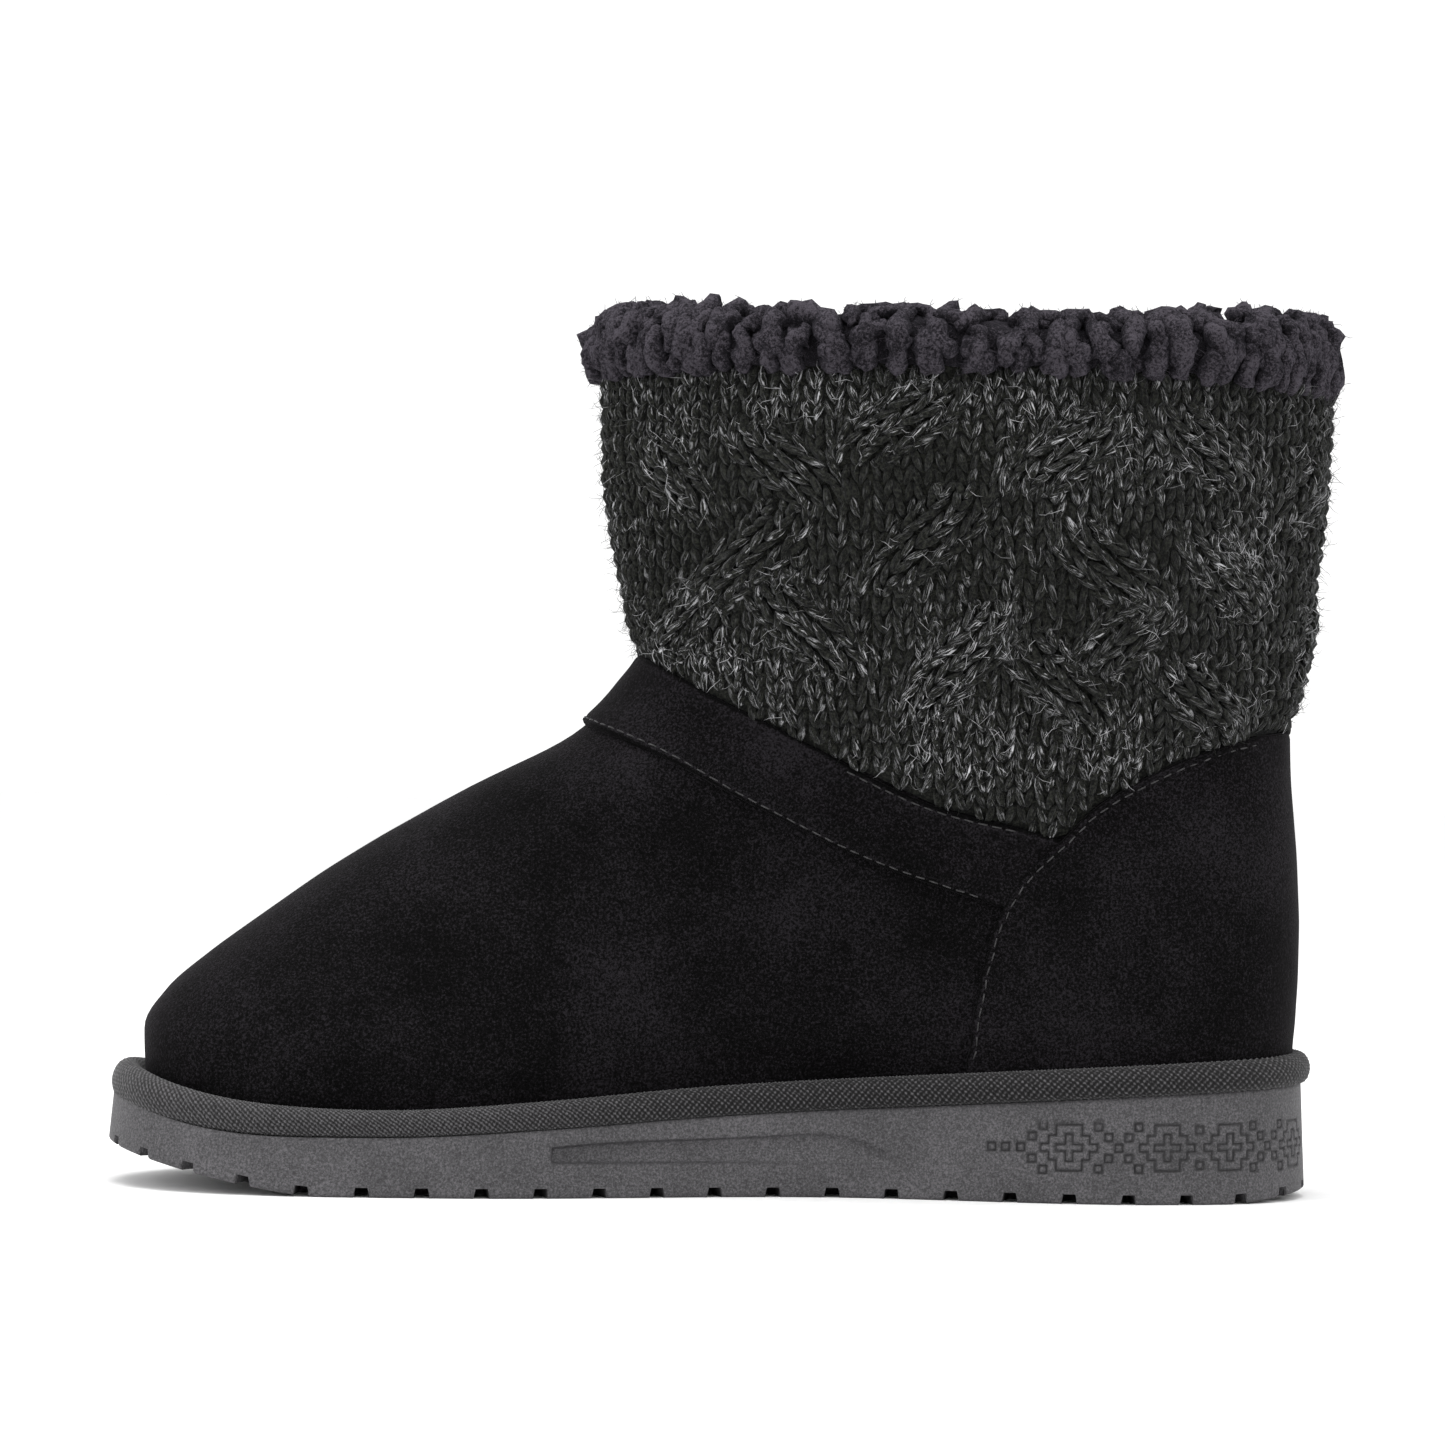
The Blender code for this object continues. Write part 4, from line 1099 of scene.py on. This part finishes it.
def lock_paths(grid, out, rng):
    """Middle lines, radii and outward normals of all the locks. A lock climbs over the roll with
    a sway of its own; its lumps are a wave of the radius, and its ends are thin and sunk."""
    s = np.linspace(0, 1, 13)
    runs = []
    for count, start, span, radius, turn in LOCK_BELTS:
        def one(low, high):
            return rng.uniform(low, high, count)[:, None]

        def wave(low, high):
            return np.sin(s * one(low, high) + one(0, 6))

        column = (np.arange(count)[:, None] + one(-0.45, 0.45)) * ROUND_STEPS / count
        column = column + (one(-9, 9) * turn * (s - 0.5) + one(-4, 4) * turn * wave(3, 7))
        row = start + one(-5, 5) * min(1, start / 20) ** 2
        row = row + span * one(0.55, 1.0) * s + 1.5 * turn * wave(4, 8)
        lumps = 1 + 0.13 * wave(10, 18) + 0.05 * wave(20, 34)
        taper = 0.30 + 0.70 * np.sin(math.pi * (0.10 + 0.80 * s)) ** 0.6
        size = radius * one(0.78, 1.20) * lumps * taper * MM
        lift = (-0.7 + one(0.3, 1.5) * np.sin(math.pi * s)) * MM
        way = unit(bilinear(out, row, column))
        runs.append((bilinear(grid, row, column) + way * lift[..., None], size, way))
    return stacked(runs)


def lock_surface():
    """All the locks as tubes whose radius also swings round them as a twisting ridge, with soft
    noise of 3.4 mm and 1.4 mm pushed through the points. Also gives each point's way out of its
    lock, the faces, and how far the point looks away from the roll."""
    rng = np.random.default_rng(41)
    paths, size, out = lock_paths(*cuff_grid(ROUND_STEPS, SECTION_STEPS), rng)
    points, faces = tubes(paths, size, out, LOCK_AROUND)
    count, rings = paths.shape[:2]
    ring = points.reshape(count, rings, LOCK_AROUND, 3)
    turn = 2 * math.pi * np.arange(LOCK_AROUND) / LOCK_AROUND
    twist = np.linspace(0, 6, rings)[:, None]
    wave = np.cos(2 * (turn + twist) + rng.uniform(0, 6, count)[:, None, None])
    centre = paths[:, :, None]
    away = unit(ring - centre)
    lump = 1 + 0.17 * wave + rng.normal(0, 0.05, ring.shape[:3])
    ring = centre + (ring - centre) * lump[..., None]
    push = 0.35 * ripple(ring, 0.0034, 61) + 0.12 * ripple(ring, 0.0014, 62)
    root = np.sum(away * out[:, :, None], axis=-1)
    return ring + away * (push * MM)[..., None], away, faces, root


def make_cuff_locks(materials):
    """The fleece's locks as one joined mesh, with shade painted on their sides towards the roll
    and light painted on their sides that face out.
    """
    ring, _, faces, root = lock_surface()
    return put_mesh("fleece_locks", ring, faces, materials, tone=root)


def make_cuff_frizz(materials):
    """Downy fibres rooted all over the locks."""
    rng = np.random.default_rng(51)
    root, out = (points.reshape(-1, 3) for points in lock_surface()[:2])
    pick = rng.integers(0, len(root), 8500)
    root, out = root[pick], out[pick]
    way = unit(out + 0.6 * rng.normal(size=root.shape))
    length = rng.uniform(1.0, 2.4, len(pick)) * MM
    tone = rng.uniform(0.4, 1.8, len(pick))
    return hair_mesh("fleece_frizz", root - out * 0.1 * MM, way, out, length, 0.07 * MM, tone,
                     materials, 0.9, 52)


def linear(colour):
    """An sRGB hex colour as linear RGBA."""
    parts = [int(colour[i:i + 2], 16) / 255 for i in (1, 3, 5)]
    return (*[p / 12.92 if p <= 0.04045 else ((p + 0.055) / 1.055) ** 2.4 for p in parts], 1.0)


def add(tree, kind, inputs=(), **settings):
    """Adds a node, sets its properties, and sets or links its inputs by name or number."""
    node = tree.nodes.new("ShaderNode" + kind)
    for key, value in settings.items():
        setattr(node, key, value)
    for key, value in dict(inputs).items():
        if isinstance(value, bpy.types.NodeSocket):
            tree.links.new(value, node.inputs[key])
        else:
            node.inputs[key].default_value = value
    return node


def ramp(tree, value, *stops):
    """A colour ramp through pairs of place and hex colour."""
    node = add(tree, "ValToRGB", {"Fac": value})
    elements = node.color_ramp.elements
    while len(elements) < len(stops):
        elements.new(0.5)
    for element, (place, colour) in zip(elements, stops):
        element.position = place
        element.color = linear(colour)
    return node.outputs["Color"]


def noise(tree, vector, size, detail=2.0, roughness=0.5):
    """Noise whose features are about size metres across."""
    return add(tree, "TexNoise", {"Vector": vector, "Scale": 1 / size, "Detail": detail,
                                  "Roughness": roughness}).outputs["Fac"]


def weighed(tree, *parts):
    """The sum of values, each times its weight."""
    total = 0.0
    for value, weight in parts:
        total = add(tree, "Math", {0: value, 1: weight, 2: total},
                    operation="MULTIPLY_ADD").outputs[0]
    return total


def ranged(tree, value, low, high, to_low=0.0, to_high=1.0):
    """A value mapped from one range to another, and held within it."""
    return add(tree, "MapRange", {"Value": value, "From Min": low, "From Max": high,
                                  "To Min": to_low, "To Max": to_high}).outputs["Result"]


def blend(tree, share, first, second):
    """Two colours mixed by a share."""
    return add(tree, "Mix", {"Factor": share, 6: first, 7: second}, data_type="RGBA").outputs[2]


def tone_of(tree):
    """The mesh's own tone attribute."""
    return add(tree, "Attribute", attribute_name="tone").outputs["Fac"]


def surface(tree, turn, scale=(1, 1, 1)):
    """The piece's own UV, turned and scaled."""
    uv = add(tree, "UVMap", uv_map="surface").outputs["UV"]
    return add(tree, "Mapping", {"Vector": uv, "Rotation": (0, 0, turn),
                                 "Scale": scale}).outputs["Vector"]


def new_material(name, **settings):
    """A material with one Principled shader; gives it, its tree and the object coordinates."""
    material = bpy.data.materials.new(name)
    material.use_nodes = True
    tree = material.node_tree
    tree.nodes.clear()
    shader = add(tree, "BsdfPrincipled", {k.replace("_", " "): v for k, v in settings.items()})
    add(tree, "OutputMaterial", {"Surface": shader.outputs["BSDF"]})
    return material, tree, add(tree, "TexCoord").outputs["Object"]


def finish(material, colour, *bumps, roughness=None):
    """Links a material's colour and its chain of bumps: a height, a strength and a distance in
    metres for each."""
    tree = material.node_tree
    shader = next(node for node in tree.nodes if node.type == "BSDF_PRINCIPLED")
    links = {"Base Color": colour, "Roughness": roughness, "Normal": None}
    for height, strength, distance in bumps:
        inputs = {"Height": height, "Strength": strength, "Distance": distance}
        if links["Normal"] is not None:
            inputs["Normal"] = links["Normal"]
        links["Normal"] = add(tree, "Bump", inputs).outputs["Normal"]
    for name, socket in links.items():
        if socket is not None:
            tree.links.new(socket, shader.inputs[name])
    return material


def black_suede(look):
    """Cow split suede, dyed black and brushed: a dull nap whose fibres catch light at grazing
    angles, mottled where a hand has turned the nap. The grain, about 0.35 mm in life, is drawn
    at 0.55 mm so that it shows."""
    material, tree, where = new_material(
        "brushed_split_suede", Roughness=0.92, Specular_IOR_Level=0.06, Sheen_Weight=0.09,
        Sheen_Roughness=0.32, Sheen_Tint=linear("#8f8a90"))
    cloud = noise(tree, where, 0.030, 3.0, 0.55)
    grain = noise(tree, where, 0.00055, 2.0, 0.8)
    # The tone attribute paints shade along the sewn edges and a faint highlight on the sewn ridges.
    mixed = weighed(tree, (cloud, 0.28), (grain, 0.72), (tone_of(tree), -0.14))
    colour = ramp(tree, mixed, (0.40, look.suede_dark_and_edge_shade), (0.50, look.suede),
                  (0.62, look.suede_light_and_ridge_highlight))
    nap = noise(tree, where, 0.0007, 3.0, 0.7)
    return finish(material, colour, (cloud, 0.25, 0.0010), (nap, 0.55, 0.00030))


def grey_rubber(look):
    """Blown EVA rubber, moulded: matt, finely pitted, a little scuffed, faintly cool grey."""
    material, tree, where = new_material("moulded_eva_rubber", Roughness=0.62,
                                         Specular_IOR_Level=0.35)
    cloud = noise(tree, where, 0.018, 3.0)
    pits = noise(tree, where, 0.0005, 2.0, 0.8)
    mixed = weighed(tree, (pits, 0.8), (cloud, 0.2))
    colour = ramp(tree, mixed, (0.36, look.rubber_dark), (0.50, look.rubber),
                  (0.65, look.rubber_light))
    # The tone attribute paints shade into the engraved lines and along the scoop's rim.
    groove_shaded = blend(tree, tone_of(tree), colour, linear(look.rubber_groove_shade))
    return finish(material, groove_shaded, (cloud, 0.08, 0.0008), (pits, 0.35, 0.00020),
                  roughness=ranged(tree, cloud, 0.0, 1.0, 0.52, 0.72))


def woven_tape(look):
    """Polyester twill tape wrapped round a cord: dull threads whose ribs are in the mesh, with
    shade painted between the ribs and highlights painted on their crowns; the shader adds the
    single threads at about 0.9 mm, coarser than the real 0.25 mm so that they show."""
    material, tree, where = new_material(
        "twill_tape", Roughness=0.80, Specular_IOR_Level=0.25, Sheen_Weight=0.10)
    threads = add(tree, "TexWave", {"Vector": surface(tree, -0.8), "Scale": 0.34,
                                    "Distortion": 2.0, "Detail": 1.0,
                                    "Detail Scale": 2.0}).outputs["Fac"]
    grain = noise(tree, where, 0.0006, 2.0, 0.7)
    # The tone attribute paints shade between the ribs and highlights on their crowns.
    mixed = weighed(tree, (threads, 0.25), (grain, 0.55), (tone_of(tree), 0.55))
    colour = ramp(tree, mixed, (0.42, look.tape_dark_and_gap_shade), (0.64, look.tape), (0.90, look.tape_light_and_crown_highlight))
    return finish(material, colour, (threads, 0.35, 0.00015), (grain, 0.5, 0.00020))


def marled_yarn(look):
    """Acrylic and wool yarn of dark and light plies: streaks run along the yarn, and more of them
    are light where the tone attribute is high."""
    material, tree, where = new_material(
        "marled_wool_yarn", Roughness=0.85, Specular_IOR_Level=0.15, Sheen_Weight=0.12,
        Sheen_Roughness=0.5, Sheen_Tint=linear("#9a9ca0"))
    streak = noise(tree, surface(tree, 0.35, (6.0, 1.6, 1)), 1 / 1.6, 3.0, 0.65)
    fibre = noise(tree, where, 0.0007, 3.0, 0.8)
    body = ramp(tree, fibre, (0.44, look.yarn_dark), (0.50, look.yarn), (0.57, look.yarn_mid))
    light = add(tree, "Math", {0: ranged(tree, streak, 0.555, 0.625),
                               1: ranged(tree, tone_of(tree), -0.35, 0.9, 0.05, 0.95)},
                operation="MULTIPLY").outputs[0]
    colour = blend(tree, light, body, linear(look.yarn_light))
    return finish(material, colour, (streak, 0.6, 0.0005), (fibre, 0.4, 0.0003))


def yarn_fibre(look):
    """Single loose fibres of the same yarn, light or dark by the tone attribute."""
    material, tree, where = new_material("loose_yarn_fibre", Roughness=0.7, Specular_IOR_Level=0.3)
    value = weighed(tree, (tone_of(tree), 1.0), (noise(tree, where, 0.003), 0.5))
    return finish(material, ramp(tree, value, (0.15, look.yarn_dark), (0.55, look.yarn_mid),
                                 (1.0, look.yarn_light)))


def fleece(look):
    """Polyester sherpa fleece, dark charcoal with a violet cast: matt and downy, with light painted
    where its locks face out and shade painted in the folds between them and on the roll."""
    material, tree, where = new_material(
        "sherpa_fleece", Roughness=1.0, Specular_IOR_Level=0.06, Sheen_Weight=0.18,
        Sheen_Roughness=0.6, Sheen_Tint=linear("#8b8794"))
    cloud = noise(tree, where, 0.006, 3.0, 0.6)
    pile = noise(tree, where, 0.0007, 3.0, 0.85)
    # The tone attribute paints light on the locks' outer sides and shade on their inner sides and
    # on the roll.
    mixed = weighed(tree, (cloud, 0.3), (pile, 0.7), (tone_of(tree), 0.09))
    colour = ramp(tree, mixed, (0.46, look.fleece_dark_and_fold_shade), (0.54, look.fleece),
                  (0.63, look.fleece_light_and_lock_highlight))
    return finish(material, colour, (cloud, 0.5, 0.0015), (pile, 1.0, 0.0010))


def sewing_thread(look):
    """Waxed polyester thread, grey, with a two-ply twist 0.7 mm long."""
    material, tree, where = new_material("waxed_thread", Roughness=0.55, Specular_IOR_Level=0.4)
    twist = noise(tree, where, 0.0007)
    colour = ramp(tree, twist, (0.35, look.thread_dark), (0.65, look.thread))
    return finish(material, colour, (twist, 0.4, 0.0002))


def studio_floor():
    """White sweep of matt paper, with a faint tooth."""
    material, tree, where = new_material("matt_paper", Roughness=0.9, Specular_IOR_Level=0.1)
    tooth = noise(tree, where, 0.004)
    return finish(material, ramp(tree, tooth, (0.3, "#f0f0f0"), (0.7, "#f4f4f4")))


def hex_property(name, place, default):
    return bpy.props.StringProperty(name=name, description="sRGB hex of " + place, default=default)


class BootLooks(bpy.types.PropertyGroup):
    # The darkest suede colour also paints shade along the sewn edges; the lightest a faint
    # highlight on the sewn ridges.
    suede_dark_and_edge_shade: hex_property("Suede, turned nap and painted edge shade", "the darkest nap and the painted shade at sewn edges", "#020202")
    suede: hex_property("Suede", "the suede", "#090809")
    suede_light_and_ridge_highlight: hex_property("Suede, lit nap", "the lightest nap and the painted highlight on sewn ridges", "#201e21")
    rubber_dark: hex_property("Rubber, dark", "the rubber's pits", "#29282a")
    rubber: hex_property("Rubber", "the sole", "#414042")
    rubber_light: hex_property("Rubber, light", "the rubber's scuffs", "#5d5b5e")
    # The engraved colour is painted shade in the ornament's lines and along the scoop's rim.
    rubber_groove_shade: hex_property("Rubber, painted groove shade", "the painted shade in the ornament's lines and the scoop's rim", "#151416")
    # The tape's dark and light colours also paint shade between the ribs and highlights on their
    # crowns.
    tape_dark_and_gap_shade: hex_property("Tape, dark", "the dark threads and the painted shade between the ribs", "#060506")
    tape: hex_property("Tape", "the welt's tape", "#1d1c1d")
    tape_light_and_crown_highlight: hex_property("Tape, light", "the light threads and the painted highlight on the crowns", "#575658")
    yarn_dark: hex_property("Yarn, dark ply", "the darkest ply", "#050504")
    yarn: hex_property("Yarn", "the yarn's body", "#0e0f0c")
    yarn_mid: hex_property("Yarn, grey ply", "the grey ply", "#262722")
    yarn_light: hex_property("Yarn, light fleck", "the light flecks", "#c8c8cb")
    # The fleece's dark and light colours also paint shade in the folds and light on the locks'
    # outer sides.
    fleece_dark_and_fold_shade: hex_property("Fleece, dark pile and painted fold shade", "the dark pile and the painted shade in the folds", "#080708")
    fleece: hex_property("Fleece", "the fleece", "#19171a")
    fleece_light_and_lock_highlight: hex_property("Fleece, lit pile", "the lit pile", "#464248")
    thread_dark: hex_property("Thread, twist", "the thread's twist", "#141314")
    thread: hex_property("Thread", "the sewing thread", "#343334")


class StudioSettings(bpy.types.PropertyGroup):
    distance: bpy.props.FloatProperty(
        name="Camera distance", description="From the boot's middle plane to the camera",
        default=1.25, min=0.5, max=5, unit="LENGTH")
    lens: bpy.props.FloatProperty(
        name="Lens", description="Focal length that gives the photograph's field of view",
        default=136.59, min=20, max=400, subtype="DISTANCE_CAMERA")
    roll: bpy.props.FloatProperty(
        name="Camera roll", description="How far the floor tips in the picture",
        default=math.atan(0.0158), subtype="ANGLE")


def finished(piece, slot, *nodes):
    """Hangs a piece on the root body and hides the imported parts that it replaces; the slot is not
    used.
    """
    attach(piece, "root")
    if nodes:
        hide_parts(*nodes)


class BOOT_OT_sole(bpy.types.Operator):
    """Builds the rubber sole with its lugs, side scoops and heel ornament"""
    bl_idname = "boot.sole"
    bl_label = "Rubber sole"

    def execute(self, context):
        rubber = grey_rubber(context.scene.boot_looks)
        finished(make_sole_surface([rubber]), "grey_rubber", "outsole")
        return {"FINISHED"}


class BOOT_OT_welt(bpy.types.Operator):
    """Builds the taped welt roll"""
    bl_idname = "boot.welt"
    bl_label = "Taped welt"

    def execute(self, context):
        tape = woven_tape(context.scene.boot_looks)
        finished(make_welt_surface([tape]), "woven_tape", "welt")
        return {"FINISHED"}


class BOOT_OT_foot(bpy.types.Operator):
    """Builds the suede foot, band and counter, their stitches, and the lining and footbed"""
    bl_idname = "boot.foot"
    bl_label = "Suede foot"

    def execute(self, context):
        looks = context.scene.boot_looks
        suede, lining = black_suede(looks), fleece(looks)
        finished(make_upper_surface(suede, lining), "black_suede", "upper")
        finished(make_band_surface([suede]), "black_suede", "instep_band")
        finished(make_counter_surface([suede]), "black_suede", "heel_counter")
        finished(make_stitches([sewing_thread(looks)]), "black_suede")
        finished(make_footbed([lining]), "fleece", "insole")
        return {"FINISHED"}


class BOOT_OT_knit(bpy.types.Operator):
    """Builds the cable-knit shaft: its backing, stitches and loose fibres"""
    bl_idname = "boot.knit"
    bl_label = "Knitted shaft"

    def execute(self, context):
        looks = context.scene.boot_looks
        yarn = marled_yarn(looks)
        finished(make_knit_backing([yarn]), "marled_yarn", "knit_shaft")
        finished(make_knit_stitches("knit_inner_side", 0.0, 0.5, [yarn]), "marled_yarn")
        finished(make_knit_stitches("knit_outer_side", 0.5, 1.0, [yarn]), "marled_yarn")
        finished(make_knit_fuzz([yarn_fibre(looks)]), "marled_yarn")
        return {"FINISHED"}


class BOOT_OT_cuff(bpy.types.Operator):
    """Builds the fleece cuff: its roll, locks and frizz"""
    bl_idname = "boot.cuff"
    bl_label = "Fleece cuff"

    def execute(self, context):
        downy = fleece(context.scene.boot_looks)
        finished(make_cuff_core([downy]), "fleece", "fleece_cuff")
        finished(make_cuff_locks([downy]), "fleece")
        finished(make_cuff_frizz([downy]), "fleece")
        return {"FINISHED"}


def put(name, data, right, up, back, place):
    """A lamp, camera or mesh in the scene, from its axes and its place."""
    item = bpy.data.objects.new(name, data)
    axes = np.column_stack([right, up, back, place])
    item.matrix_world = Matrix([*axes.tolist(), [0, 0, 0, 1]])
    bpy.context.scene.collection.objects.link(item)
    return item


def area_light(name, place, aim, size, power):
    """A soft rectangular light that looks at a point."""
    light = bpy.data.lights.new(name, "AREA")
    light.shape = "RECTANGLE"
    light.size, light.size_y = size
    light.energy = power
    away = unit(np.subtract(place, aim))
    right = unit(np.cross((0, 0, 1), away))
    put(name, light, right, np.cross(away, right), away, place)


class BOOT_OT_stage(bpy.types.Operator):
    """Builds the white floor, the studio lights and the camera"""
    bl_idname = "boot.stage"
    bl_label = "Studio"

    def execute(self, context):
        scene, studio = context.scene, context.scene.boot_studio
        mesh = bpy.data.meshes.new("floor")
        reach = 6.0
        corners = [(-reach, -reach, 0), (reach, -reach, 0), (reach, reach, 0), (-reach, reach, 0)]
        mesh.from_pydata(corners, [], [(0, 1, 2, 3)])
        mesh.materials.append(studio_floor())
        floor = bpy.data.objects.new("floor", mesh)
        scene.collection.objects.link(floor)
        world = bpy.data.worlds.new("studio")
        scene.world = world
        world.use_nodes = True
        background = world.node_tree.nodes["Background"]
        background.inputs["Color"].default_value = (1, 1, 1, 1)
        background.inputs["Strength"].default_value = 1.13
        area_light("top_softbox", (0.10, 0.15, 1.3), (0, 0, 0.08), (1.0, 0.8), 13)
        area_light("toe_softbox", (1.1, 0.5, 0.7), (0, 0, 0.08), (0.7, 0.7), 2.8)
        area_light("heel_softbox", (-1.1, 0.4, 0.8), (0, 0, 0.1), (0.7, 0.7), 2.2)
        camera = bpy.data.cameras.new("camera")
        camera.sensor_width = 36.0
        camera.lens = studio.lens
        c, s = math.cos(studio.roll), math.sin(studio.roll)
        place = (ORIGIN[0] + 0.134, ORIGIN[1] + studio.distance, 0.1056)
        scene.camera = put("camera", camera, (-c, 0, s), (s, 0, c), (0, 1, 0), place)
        scene.view_settings.view_transform = "Standard"
        return {"FINISHED"}


class BOOT_PT_panel(bpy.types.Panel):
    """Lists the boot's pieces in the 3D view's sidebar"""
    bl_idname = "BOOT_PT_panel"
    bl_label = "Ankle boot"
    bl_space_type = "VIEW_3D"
    bl_region_type = "UI"
    bl_category = "Boot"

    def draw(self, context):
        for step in STEPS:
            self.layout.operator(step.bl_idname)
        for group in (context.scene.boot_looks, context.scene.boot_studio):
            for key in group.__annotations__:
                self.layout.prop(group, key)


STEPS = (BOOT_OT_sole, BOOT_OT_welt, BOOT_OT_foot, BOOT_OT_knit, BOOT_OT_cuff, BOOT_OT_stage)
CLASSES = (BootLooks, StudioSettings, *STEPS, BOOT_PT_panel)


def register():
    for cls in CLASSES:
        bpy.utils.register_class(cls)
    bpy.types.Scene.boot_looks = bpy.props.PointerProperty(type=BootLooks)
    bpy.types.Scene.boot_studio = bpy.props.PointerProperty(type=StudioSettings)


def unregister():
    del bpy.types.Scene.boot_studio
    del bpy.types.Scene.boot_looks
    for cls in reversed(CLASSES):
        bpy.utils.unregister_class(cls)


def main():
    register()
    bpy.ops.boot.sole()
    bpy.ops.boot.welt()
    bpy.ops.boot.foot()
    bpy.ops.boot.knit()
    bpy.ops.boot.cuff()
    bpy.ops.boot.stage()


if __name__ == "__main__":
    main()
